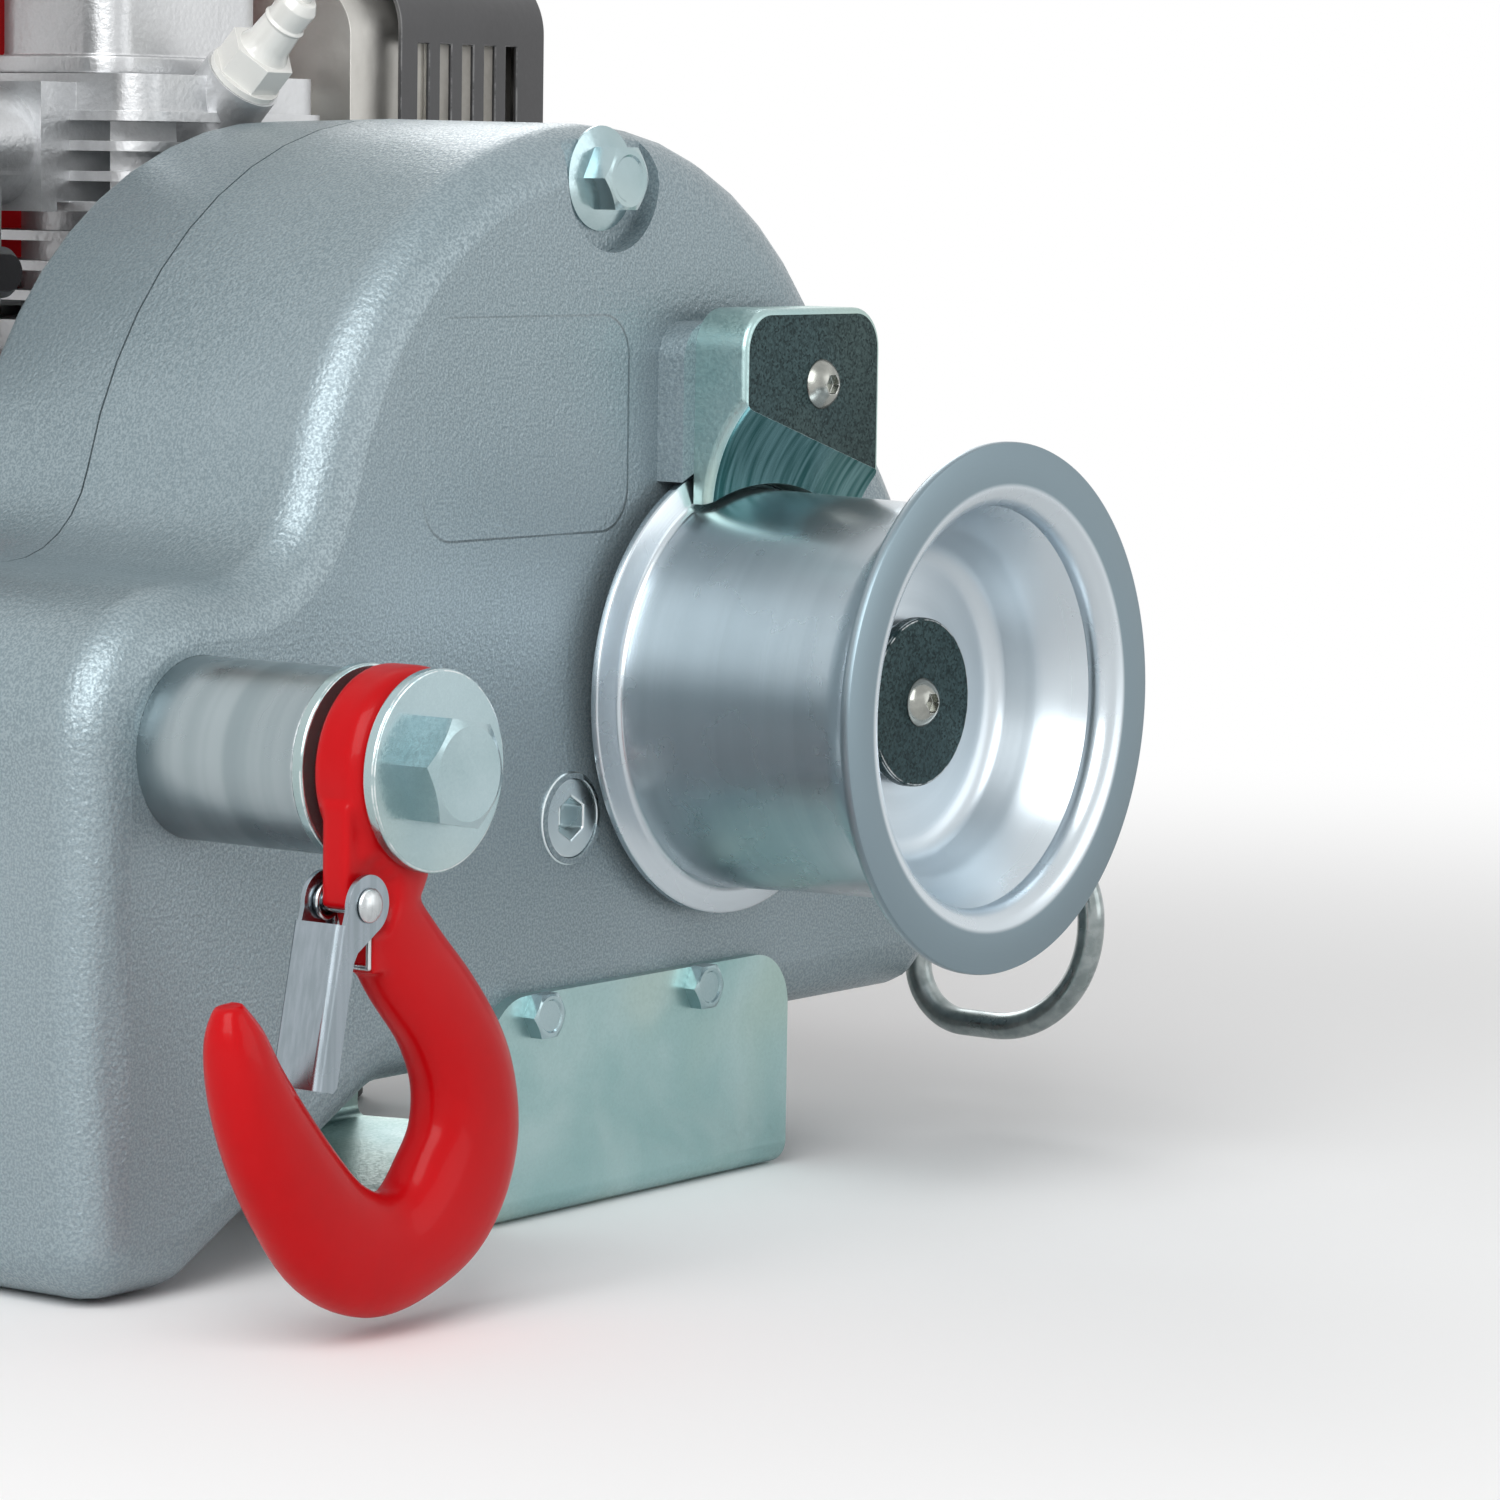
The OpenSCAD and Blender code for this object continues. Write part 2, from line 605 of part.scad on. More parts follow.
// A sealed ball bearing with its face at y
module bearing(at, y, bore, od, w) {
    ring = (od - bore) / 10;
    b = bore / 2;
    o = od / 2;
    dip = 0.7;
    translate([0, y, 0]) y_turn(at) polygon([
        [b, 0], [b + ring, 0], [b + ring, dip], [o - ring, dip], [o - ring, 0], [o, 0],
        [o, w], [o - ring, w], [o - ring, w - dip], [b + ring, w - dip], [b + ring, w], [b, w]]);
}
module bearings() {
    color(bright) at_axis() {
        bearing(output_axis, wall, output_front_d, large_od, large_w);
        bearing(output_axis, rear_y0 + 0.1, output_rear_d, medium_od, medium_w - 0.2);
        for (p = [second_axis, first_axis]) {
            bearing(p, wall + 0.1, small_bore, small_od, small_w - 0.1);
            bearing(p, rear_y0 + 0.1, small_bore, small_od, small_w - 0.2);
        }
        bearing(input_axis, rear_y0 + 0.1, small_bore, small_od, small_w - 0.2);
        bearing(input_axis, rear_y0 + rear_floor + 0.1, small_bore, small_od, small_w - 0.2);
        bearing(input_axis, rear_y + flange_t, crank_d, crank_od, crank_w);
        bearing(input_axis, case_y - crank_w - 0.3, crank_d, crank_od, crank_w);
    }
}
module shaft_seal() {
    color(black) at_axis() y_turn() polygon([
        [output_front_d / 2, 1.4], [output_front_d / 2 + 2, 0.4], [seal_od / 2, 0.4],
        [seal_od / 2, wall - 0.1], [output_front_d / 2 + 2.5, wall - 0.1], [output_front_d / 2 + 2.5, 2.4],
        [output_front_d / 2, 2.2]]);
}
module oil_plug() {
    color(zinc) at_axis() difference() {
        union() {
            y_rod(plug_head_r, -0.4, 2 - slip, plug_place);
            y_rod(plug_thread_r, 1, plug_l, plug_place);
        }
        translate([plug_place[0], -1, plug_place[1]]) rotate([-90, 0, 0])
            rotate(30) cylinder(r = 8 / 2 / cos(30), h = 7, $fn = 6);
    }
}

// Profile of the drum as [radius, depth], from the lip round the barrel and back through the dish
barrel_back_r = barrel_back_d / 2;
barrel_front_r = barrel_front_d / 2;
lip_r = lip_d / 2;
back_r = back_flange_d / 2;
back_front_y = -drum_gap - back_flange_t;
groove_r = 1.6;
back_root_y = back_front_y - 1;
flare_r = 11;
floor_y = lip_y + dish_depth;
dish_floor_r = dish_floor_d / 2;
dish_mouth_r = lip_r - lip_ring_w;
hub_r = drum_hub_d / 2;
flare_a = 62;
flare_top = [barrel_front_r + flare_r * (1 - cos(flare_a)), lip_y + 2 + 4.5];
drum_outside = concat(
    [[lip_r - 0.6, lip_y], [lip_r, lip_y + 0.6], [lip_r, lip_y + 1.8], [lip_r - 0.6, lip_y + 2.4]],
    [[flare_top[0] + 3, flare_top[1] - 2.4]],
    arc([barrel_front_r + flare_r, flare_top[1] + flare_r * sin(flare_a)], flare_r, 180 + flare_a, 180, 6),
    arc([barrel_back_r + groove_r, back_root_y - groove_r], groove_r, 180, 96, 4),
    [[back_r - 0.5, back_front_y], [back_r, back_front_y + 0.4], [back_r, -drum_gap - 0.4],
     [back_r - 0.4, -drum_gap]]);
drum_inside = concat(
    [[barrel_back_r - drum_wall, -drum_gap], [barrel_front_r - drum_wall - 3, floor_y + drum_wall + 4],
     [barrel_front_r - drum_wall - 8, floor_y + drum_wall]],
    [[hub_r + 2, floor_y + drum_wall], [hub_r, floor_y + drum_wall + 2], [hub_r, -drum_gap],
     [drum_seat_d / 2, -drum_gap], [drum_seat_d / 2, hub_face_y], [hub_r - 0.5, hub_face_y],
     [hub_r, hub_face_y + 0.5], [hub_r, floor_y - 0.4], [hub_r + 0.6, floor_y]],
    [[dish_floor_r - 1.5, floor_y]],
    arc([dish_floor_r - 1, floor_y - 5], 5, 78, 20, 3),
    [[dish_floor_r + 5.6, lip_y + 16.6], [dish_floor_r + 6.4, lip_y + 14]],
    [[dish_mouth_r - 4.6, lip_y + 7]],
    arc([dish_mouth_r + 0.4, lip_y + 5], 5, 165, 262, 5));
module capstan_drum() {
    color(bright) at_axis() difference() {
        y_turn() polygon(concat(drum_outside, drum_inside));
        translate([-key_w / 2 - fit, hub_face_y - 1, 0])
            cube([key_w + 2 * fit, -hub_face_y + 1, drum_seat_r + key_w / 2 + fit]);
    }
}
module drum_washer() {
    color(steel) at_axis() y_turn() polygon([
        [3.2, hub_face_y], [3.2, hub_face_y - drum_washer_t], [drum_washer_d / 2 - 0.4, hub_face_y - drum_washer_t],
        [drum_washer_d / 2, hub_face_y - drum_washer_t + 0.4], [drum_washer_d / 2, hub_face_y - 0.4],
        [drum_washer_d / 2 - 0.4, hub_face_y]]);
}
module drum_screw() {
    color(bright) from_front(output_axis, hub_face_y - drum_washer_t) button_screw(6, 22, 10.8, 3.4, 4);
}
shaft_front_y = hub_face_y + 0.5;
module output_shaft() {
    color(steel) at_axis() difference() {
        y_turn() polygon([
            [0, shaft_front_y], [drum_seat_r - 0.8, shaft_front_y], [drum_seat_r, shaft_front_y + 0.8],
            [drum_seat_r, -drum_gap], [output_front_r, -drum_gap], [output_front_r, wall + large_w + 0.1],
            [output_front_r + 2, wall + large_w + 0.1], [output_front_r + 2, output_gear_y],
            [gear_seat_r, output_gear_y], [gear_seat_r, output_gear_y + output_gear_w + 1],
            [output_rear_r, output_gear_y + output_gear_w + 1.5], [output_rear_r, rear_y0 + medium_w - 0.6],
            [0, rear_y0 + medium_w - 0.6]]);
        y_rod(3 + fit, shaft_front_y - 1, shaft_front_y + 22);
        translate([-key_w / 2 - fit, shaft_front_y + 8, drum_seat_r - key_w / 2])
            cube([key_w + 2 * fit, 30, key_w]);
        translate([-key_w / 2 - fit, output_gear_y, gear_seat_r - key_w / 2])
            cube([key_w + 2 * fit, output_gear_w, key_w]);
    }
}
module output_keys() {
    color(steel) at_axis() {
        translate([-key_w / 2, shaft_front_y + 8 + fit, drum_seat_r - key_w / 2 + fit])
            cube([key_w, 30 - 2 * fit, key_w - 0.4]);
        translate([-key_w / 2, output_gear_y + fit, gear_seat_r - key_w / 2 + fit])
            cube([key_w, output_gear_w - 2 * fit, key_w - 0.4]);
    }
}
// A gear wheel with a thin web between its hub and its rim
module wheel(teeth, size, from, w, at, phase, bore, hub, rim) {
    r = teeth * size / 2;
    difference() {
        gear_teeth(teeth, size, -shift, from, w, at, phase);
        y_rod(bore + running, from - 1, from + w + 1, at);
        translate([0, from, 0]) y_turn(at) polygon([[hub, -1], [r - rim, -1], [r - rim - 1, w * 0.25], [hub + 1, w * 0.25]]);
        translate([0, from, 0]) y_turn(at)
            polygon([[hub, w + 1], [hub + 1, w * 0.75], [r - rim - 1, w * 0.75], [r - rim, w + 1]]);
    }
}
module output_gear() {
    color(steel) at_axis() difference() {
        wheel(output_teeth, output_module, output_gear_y, output_gear_w, output_axis, third_dir,
              gear_seat_r, gear_seat_r + 9, 6);
        translate([-key_w / 2 - fit, output_gear_y - 1, 0])
            cube([key_w + 2 * fit, output_gear_w + 2, gear_seat_r + key_w / 2 + fit]);
    }
}
second_seat_r = 9;
first_seat_r = 7;
module shaft_with_pinion(at, teeth, size, w_from, w, phase, body) {
    gear_teeth(teeth, size, shift, w_from, w, at, phase);
    y_turn(at) polygon(body);
}
small_y0 = wall + 0.3;
small_y1 = rear_y0 + small_w - 0.4;
module second_shaft() {
    color(steel) at_axis() shaft_with_pinion(
        second_axis, third_pinion_teeth, output_module, output_gear_y - pinion_over,
        output_gear_w + 2 * pinion_over, third_dir + 180 + 180 / third_pinion_teeth,
        [[0, small_y0], [small_r, small_y0], [small_r, wall + small_w + 0.2], [second_seat_r - 0.8, wall + small_w + 0.2],
         [second_seat_r - 0.8, output_gear_y], [second_seat_r, output_gear_y + 2],
         [second_seat_r, second_gear_y + second_gear_w + 0.5], [second_seat_r - 1, second_gear_y + second_gear_w + 1],
         [second_seat_r - 1, rear_y0], [small_r, rear_y0], [small_r, small_y1], [0, small_y1]]);
}
module second_gear() {
    color(steel) at_axis() wheel(second_teeth, second_module, second_gear_y, second_gear_w, second_axis, second_dir,
                                 second_seat_r, second_seat_r + 7, 5);
}
module first_shaft() {
    color(steel) at_axis() shaft_with_pinion(
        first_axis, second_pinion_teeth, second_module, second_gear_y - pinion_over,
        second_gear_w + 2 * pinion_over, second_dir + 180 + 180 / second_pinion_teeth,
        [[0, small_y0], [small_r, small_y0], [small_r, wall + small_w + 0.2], [first_seat_r, wall + small_w + 0.2],
         [first_seat_r, first_gear_y + first_gear_w + 0.5], [first_seat_r - 0.4, rear_y0], [small_r, rear_y0],
         [small_r, small_y1], [0, small_y1]]);
}
module first_gear() {
    color(steel) at_axis() wheel(first_teeth, first_module, first_gear_y, first_gear_w, first_axis, first_dir,
                                 first_seat_r, first_seat_r + 6, 4);
}
clutch_y = rear_y0 + rear_floor + small_w + 0.5;
clutch_drum_r = bell_r - 3.5;
clutch_rim = 3;
clutch_l = 15;
module input_shaft() {
    color(steel) at_axis() shaft_with_pinion(
        input_axis, input_teeth, first_module, first_gear_y - pinion_over, first_gear_w + 2 * pinion_over,
        first_dir + 180 + 180 / input_teeth,
        [[0, first_gear_y - pinion_over], [4.8, first_gear_y - pinion_over], [4.8, first_gear_y + first_gear_w],
         [7.2, first_gear_y + first_gear_w + pinion_over], [7.2, rear_y0], [small_r, rear_y0],
         [small_r, clutch_y + 5.6], [small_r - 0.6, clutch_y + 6.2], [0, clutch_y + 6.2]]);
}
module clutch_drum() {
    color(steel) at_axis() translate([0, clutch_y, 0]) y_turn(input_axis) polygon([
        [small_bore / 2, 0.3], [10, 0.3], [10, 1], [clutch_drum_r - 1.5, 1], [clutch_drum_r, 2.5],
        [clutch_drum_r, clutch_l], [clutch_drum_r - clutch_rim, clutch_l], [clutch_drum_r - clutch_rim, 4.5],
        [clutch_drum_r - clutch_rim - 1.5, 3.4], [10, 3.4], [10, 6], [small_bore / 2, 6]]);
}
shoe_y = clutch_y + 6.6;
shoe_w = 8;
shoe_r = clutch_drum_r - clutch_rim - 0.9;
arm_w = 9;
module clutch_hub() {
    color(steel) at_crank() difference() {
        union() {
            y_rod(15, shoe_y, shoe_y + shoe_w + 1.5);
            translate([-29, shoe_y + 1, -arm_w / 2]) cube([58, shoe_w - 2, arm_w]);
        }
        y_rod(crank_d / 2, shoe_y - 1, shoe_y + shoe_w + 2);
    }
}
module clutch_shoe() {
    difference() {
        xz_plate(shoe_y, shoe_y + shoe_w) difference() {
            circle(shoe_r);
            circle(15.6);
            for (side = [-1, 1]) rotate(side * 72) translate([-far, side > 0 ? 0 : -far]) square([2 * far, far]);
        }
        translate([0, shoe_y + 0.7, -arm_w / 2 - 0.3]) cube([30.2, shoe_w - 1.4, arm_w + 0.6]);
    }
}
module clutch_shoe_right() {
    color([0.45, 0.4, 0.36]) at_crank() clutch_shoe();
}
module clutch_shoe_left() {
    color([0.45, 0.4, 0.36]) at_crank() mirror([1, 0, 0]) clutch_shoe();
}

// The rope guide stands on the cast pad, hollowed out round the barrel
guide_back_y = -guide_pad_t;
guide_front_y = guide_back_y - guide_t;
guide_r = barrel_back_r + guide_clear;
// The scoop runs along a sloping line on the front face, each point being [depth, drop]
scoop_z = 61.5;
scoop_slope = 17;
scoop = [[-5, 0], [0, 0], [3, -3.6], [5.4, -7], [7, -10.5], [8.2, -15], [8.8, -22], [9, -40], [-5, -40]];
module rope_guide() {
    color(zinc) at_axis() difference() {
        intersection() {
            xz_plate(guide_front_y, guide_back_y) difference() {
                round_rect([guide_x, 20], [guide_x + guide_w, guide_top], 8);
                square([far, 2 * 30], center = true);
            }
            translate([guide_x, guide_front_y, 0]) union() {
                translate([0.8, 0, 0]) cube([guide_w - 1.6, guide_t, guide_top - 0.8]);
                translate([0, 0.8, 0]) cube([guide_w, guide_t, guide_top]);
            }
        }
        y_rod(guide_r, guide_front_y - 1, guide_back_y + 1);
        translate([guide_x, guide_front_y, scoop_z]) rotate([0, scoop_slope, 0]) translate([-20, 0, 0])
            rotate([90, 0, 90]) linear_extrude(2 * guide_w) polygon(scoop);
        y_rod(3 + fit, guide_front_y - 1, guide_back_y + 1, [guide_screw_x, guide_screw_z]);
    }
}
module guide_screw() {
    color(bright) from_front([guide_screw_x, guide_screw_z], guide_front_y)
        button_screw(6, guide_t + guide_pad_t + 11, 11, 3.4, 4);
}

// One folded sheet: front flange, base and rear flange
module base_bracket() {
    top = bracket_h;
    out_r = bend_r + sheet_t;
    color(zinc) difference() {
        union() {
            // Front flange, face to face with the housing
            difference() {
                xz_plate(-sheet_t, 0) round_rect([bracket_left, -20], [bracket_right, top], 12);
                translate([-far, -far, -far]) cube([2 * far, 2 * far, far + out_r]);
            }
            // Base, narrower towards the back
            intersection() {
                translate([0, out_r - sheet_t, 0]) cube_from([bracket_left, 0, 0], [bracket_right, rear_y - out_r + sheet_t, sheet_t]);
                linear_extrude(sheet_t) polygon([
                    [bracket_left, -sheet_t], [bracket_right, -sheet_t], [bracket_rear_right + 4, rear_y - 14],
                    [bracket_rear_right, rear_y], [bracket_rear_right, rear_y + sheet_t], [bracket_left, rear_y + sheet_t]]);
            }
            // Rear flange, face to face with the back of the housing
            difference() {
                xz_plate(rear_y, rear_y + sheet_t) round_rect([bracket_left, -20], [bracket_rear_right, top + 2], 9);
                translate([-far, -far, -far]) cube([2 * far, 2 * far, far + out_r]);
            }
            bend(bracket_left, bracket_right, out_r - sheet_t, out_r, -90);
            bend(bracket_left, bracket_rear_right, rear_y + sheet_t - out_r, out_r, 0);
        }
        for (p = bracket_bolt_places) y_rod(3.3, -far, 1, [p[0], axis_h + p[1]]);
        for (p = rear_bolt_places) y_rod(3.3, rear_y - 1, far, [p[0], axis_h + p[1]]);
    }
}
module cube_from(low, high) {
    translate(low) cube(high - low);
}
// A quarter bend of the sheet along X, about the line y, z = (y, out_r)
module bend(x0, x1, y, out_r, turn) {
    translate([x0, y, out_r]) rotate([0, 90, 0]) rotate([0, 0, turn]) intersection() {
        difference() {
            cylinder(r = out_r, h = x1 - x0);
            translate([0, 0, -1]) cylinder(r = bend_r, h = x1 - x0 + 2);
        }
        translate([0, 0, -1]) cube([far, far, far]);
    }
}
module bracket_bolts() {
    color(zinc) {
        for (p = bracket_bolt_places) from_front(p, -sheet_t) hex_bolt(6, 16, 10, 4.6);
        for (p = rear_bolt_places) from_back(p, rear_y + sheet_t) hex_bolt(6, 15, 10, 4.6);
    }
}

// The anchor bar and its hooks; the rear end is the front one mirrored in the middle of the housing
bar_y0 = -bar_reach + bar_washer_t;
bar_y1 = rear_y - bar_y0;
bar_at = [bar_x, -bar_drop];
eye_centre_y = -bar_reach - sleeve_l + seat_gap + eye_t / 2;
bolt_hole_l = 34;
module to_rear() {
    translate([0, rear_y, 0]) mirror([0, 1, 0]) children();
}
module anchor_bar() {
    color(bright) at_axis() difference() {
        y_turn(bar_at) polygon([
            [0, bar_y0], [bar_r - 0.8, bar_y0], [bar_r, bar_y0 + 0.8], [bar_r, bar_y1 - 0.8],
            [bar_r - 0.8, bar_y1], [0, bar_y1]]);
        y_rod(bar_bolt_d / 2 + fit, bar_y0 - 1, bar_y0 + bolt_hole_l, bar_at);
        y_rod(bar_bolt_d / 2 + fit, bar_y1 - bolt_hole_l, bar_y1 + 1, bar_at);
    }
}
module bar_end_spacers() {
    hole = bar_bolt_d / 2 + 0.2;
    at_axis() for (part = [
        [-bar_reach, bar_washer_d / 2, bar_washer_t],
        [-bar_reach - sleeve_l + fit, sleeve_r - running, sleeve_l - 2 * fit],
        [-bar_reach - sleeve_l - bar_washer_t, bar_washer_d / 2, bar_washer_t]])
        translate([0, part[0], 0]) y_turn(bar_at) washer_section(hole, part[1], part[2]);
}
module washer_section(inner, outer, t) {
    c = 0.4;
    polygon([[inner, 0], [outer - c, 0], [outer, c], [outer, t - c], [outer - c, t], [inner, t]]);
}
module bar_spacers() {
    color(bright) {
        bar_end_spacers();
        to_rear() bar_end_spacers();
    }
}
module bar_bolt() {
    from_front(bar_at, -bar_reach - sleeve_l - bar_washer_t)
        rotate(10) hex_bolt(bar_bolt_d, sleeve_l + 2 * bar_washer_t + bolt_hole_l - 4, 19.5, 7.2);
}
module bar_bolts() {
    color(zinc) {
        bar_bolt();
        to_rear() bar_bolt();
    }
}

// Forged hook: a flat eye, and a body swept along a curve, each station being
// [across, up, half width, half thickness] from the eye's centre
hook_stations = [
    [-6, -8, 12, 5.8], [-6, -17, 12.2, 5.6], [-6.4, -26.4, 9.4, 5.6], [0, -36, 10, 5.9], [11, -47.8, 10.4, 6.6],
    [18, -60, 11.9, 7.2], [18.6, -73, 13.4, 7.6], [12.3, -83.6, 13.8, 7.7], [2, -90.2, 11.7, 7.6],
    [-9, -91.2, 11.9, 7.4], [-20.2, -86.2, 11.9, 7.2], [-29.2, -77, 11.2, 7], [-37.2, -66.3, 10, 6.7],
    [-43.3, -55.5, 8, 6.2], [-47, -45.5, 5.7, 5], [-48.4, -39.5, 2.6, 2.6]];
hook_sides = 14;
sub_steps = 2;
function spline(p, i, t) =
    let (a = p[max(i - 1, 0)], b = p[i], c = p[min(i + 1, len(p) - 1)], d = p[min(i + 2, len(p) - 1)])
    0.5 * (2 * b + (c - a) * t + (2 * a - 5 * b + 4 * c - d) * t ^ 2 + (3 * b - a - 3 * c + d) * t ^ 3);
function smooth_stations(p) = concat(
    [for (i = [0 : len(p) - 2], k = [0 : sub_steps - 1]) spline(p, i, k / sub_steps)], [p[len(p) - 1]]);
module hook_body() {
    st = smooth_stations(hook_stations);
    n = hook_sides;
    last = len(st) - 1;
    points = [for (i = [0 : last])
        let (way = unit([st[min(i + 1, last)][0], st[min(i + 1, last)][1]] - [st[max(i - 1, 0)][0], st[max(i - 1, 0)][1]]),
             across = [-way[1], way[0]])
        each [for (k = [0 : n - 1]) let (c = cos(360 * k / n), s = sin(360 * k / n),
            w = sign(c) * pow(abs(c), 0.85) * st[i][2], t = sign(s) * pow(abs(s), 0.85) * st[i][3])
            [st[i][0] + across[0] * w, t, st[i][1] + across[1] * w]]];
    polyhedron(points, concat(
        [[for (k = [n - 1 : -1 : 0]) k]],
        [for (i = [0 : last - 1], k = [0 : n - 1], half = [0, 1])
            half == 0 ? [i * n + k, i * n + (k + 1) % n, (i + 1) * n + (k + 1) % n]
                      : [i * n + k, (i + 1) * n + (k + 1) % n, (i + 1) * n + k]],
        [[for (k = [0 : n - 1]) last * n + k]]), convexity = 6);
}
latch_pivot = [-16.3, -23.9];
lug_half = 3.4;
nose_half = 4.6;
module hook_solid() {
    at_eye() difference() {
        union() {
            y_turn() polygon(concat(
                [[sleeve_r - 2, -eye_t / 2]], arc([eye_r - 4, 4 - eye_t / 2], 4, -90, 0, 5),
                [[eye_r, eye_t / 2 - 1.2], [eye_r - 1.2, eye_t / 2], [sleeve_r - 2, eye_t / 2]]));
            difference() {
                hook_body();
                for (side = [0, 1]) mirror([0, side, 0]) y_rod(8.2, lug_half, eye_t, latch_pivot);
            }
            // The lug that carries the rivet, and the nose below it that stops the spring
            xz_plate(-lug_half, lug_half) polygon([
                [-eye_r - 0.4, -5], [-eye_r - 0.4, -25.5], [-18.4, -28], [-16, -29], [-8, -30], [-6, -10]]);
            xz_plate(-nose_half, nose_half) polygon([
                [-13.8, -29.8], [-13.8, -34.6], [-12.8, -36], [-6, -41.6], [2, -42], [0, -30]]);
        }
        y_rod(sleeve_r, -eye_t, eye_t);
        y_rod(rivet_d / 2 + fit, -eye_t, eye_t, latch_pivot);
    }
}
module at_eye() {
    translate([bar_x, eye_centre_y, axis_h - bar_drop]) children();
}
module front_hook() {
    color(hook_red) hook_solid();
}
module rear_hook() {
    color(hook_red) to_rear() hook_solid();
}
// The latch hangs below its rivet, then leans outwards until it rests on the hook's tip
web_c = 7.3;
ear_r = 5.7;
fold_r = 1.6;
module at_latch() {
    at_eye() translate([latch_pivot[0], 0, latch_pivot[1]]) rotate([0, latch_lean, 0]) children();
}
module latch_solid() {
    half = latch_inner / 2;
    top = -4.4;
    at_latch() difference() {
        union() {
            for (side = [0, 1]) mirror([0, side, 0]) {
                xz_plate(half, half + latch_sheet) {
                    circle(ear_r);
                    polygon([[-web_c + fold_r, top], [-5, 2.6], [4.6, -3.4], [2.2, -5.8], [-1.2, -9], [-1.9, -11],
                             [-1.6, -latch_l + 1], [-2.6, -latch_l], [-web_c + fold_r, -latch_l]]);
                }
                translate([-web_c + fold_r, half + latch_sheet - fold_r, -latch_l]) intersection() {
                    difference() {
                        cylinder(r = fold_r, h = latch_l + top);
                        translate([0, 0, -1]) cylinder(r = fold_r - latch_sheet, h = latch_l);
                    }
                    translate([-5, 0, -1]) cube([5, 5, latch_l]);
                }
            }
            translate([-web_c, -half - latch_sheet + fold_r, -latch_l])
                cube([latch_sheet, 2 * (half + latch_sheet - fold_r), latch_l + top]);
        }
        y_rod(rivet_d / 2 + running, -half - 5, half + 5);
    }
}
module front_latch() {
    color(bright) latch_solid();
}
module rear_latch() {
    color(bright) to_rear() latch_solid();
}
rivet_head = 1.5;
rivet_head_r = 3.4;
module rivet_solid() {
    reach = latch_inner / 2 + latch_sheet + 0.1;
    half = [[rivet_d / 2, reach], [rivet_head_r, reach], [rivet_head_r - 0.2, reach + 0.6],
            [rivet_head_r - 1.4, reach + rivet_head - 0.2], [0, reach + rivet_head]];
    at_eye() y_turn(latch_pivot)
        polygon(concat([for (k = [4 : -1 : 0]) [half[k][0], -half[k][1]]], half));
}
module front_latch_rivet() {
    color(bright) rivet_solid();
}
module rear_latch_rivet() {
    color(bright) to_rear() rivet_solid();
}
spring_wire = 1;
module spring_solid() {
    r = rivet_d / 2 + spring_wire / 2 + 0.6;
    x = r - 1.1;
    leg = 12.1;
    y0 = (lug_half + latch_inner / 2) / 2;
    at_eye() translate([latch_pivot[0], 0, latch_pivot[1]]) {
        for (side = [-1, 1]) {
            translate([0, side * y0, 0]) rotate([90, 0, 0]) rotate_extrude()
                translate([r, 0]) circle(spring_wire / 2, $fn = 20);
            translate([x, side * y0, -leg]) cylinder(r = spring_wire / 2, h = leg - sqrt(r ^ 2 - x ^ 2));
            translate([x, side * y0, -leg]) sphere(spring_wire / 2);
        }
        y_rod(spring_wire / 2, -y0, y0, [x, -leg]);
    }
}
module front_latch_spring() {
    color(bright) spring_solid();
}
module rear_latch_spring() {
    color(bright) to_rear() spring_solid();
}

// The rope ring is a bent rod welded to a plate on the right wall
ring_r = ring_rod / 2;
ring_top = -40;
ring_back = 12.8;
ring_bends = [13, 26, 18, 12];
ring_x = right_x + ring_plate_t + ring_r - 0.2;
module rod_between(p, q, r) {
    d = q - p;
    translate(p) rotate([90, 0, atan2(d[1], d[0]) + 90]) cylinder(r = r, h = norm(d));
}
module yz_block(x0, x1, low, high, r) {
    translate([x0, 0, 0]) rotate([90, 0, 90]) linear_extrude(x1 - x0) round_rect(low, high, r);
}
module rope_ring() {
    low = [ring_back - ring_l, ring_top - ring_h];
    high = [ring_back, ring_top];
    corners = [[high[0], low[1]], low, [low[0], high[1]], high];
    inward = [[-1, 1], [1, 1], [1, -1], [-1, -1]];
    ends = [for (i = [0 : 3]) corners[i] + ring_bends[i] * inward[i]];
    color(bright) at_axis() {
        translate([ring_x, 0, 0]) rotate([90, 0, 90]) for (i = [0 : 3]) {
            b = ring_bends[i];
            n = ring_bends[(i + 1) % 4];
            out = turned([0, -1], -90 * i);
            translate(ends[i]) rotate(-90 * (i + 1)) rotate_extrude(angle = 90) translate([b, 0]) circle(ring_r);
            rod_between(ends[i] + b * out, ends[(i + 1) % 4] + n * out, ring_r);
        }
        difference() {
            yz_block(right_x, right_x + ring_plate_t, [edge + 0.5, ring_bolt_places[1][1] - 8],
                     [ring_bolt_places[0][0] + 9, ring_bolt_places[0][1] + 8], 4);
            for (p = ring_bolt_places)
                translate([right_x - 1, p[0], p[1]]) rotate([0, 90, 0]) cylinder(r = 3.3, h = ring_plate_t + 2);
        }
    }
}
module ring_bolts() {
    color(zinc) for (p = ring_bolt_places)
        translate([right_x + ring_plate_t, p[0], axis_h + p[1]]) rotate([0, -90, 0]) hex_bolt(6, 18, 10, 4.6);
}

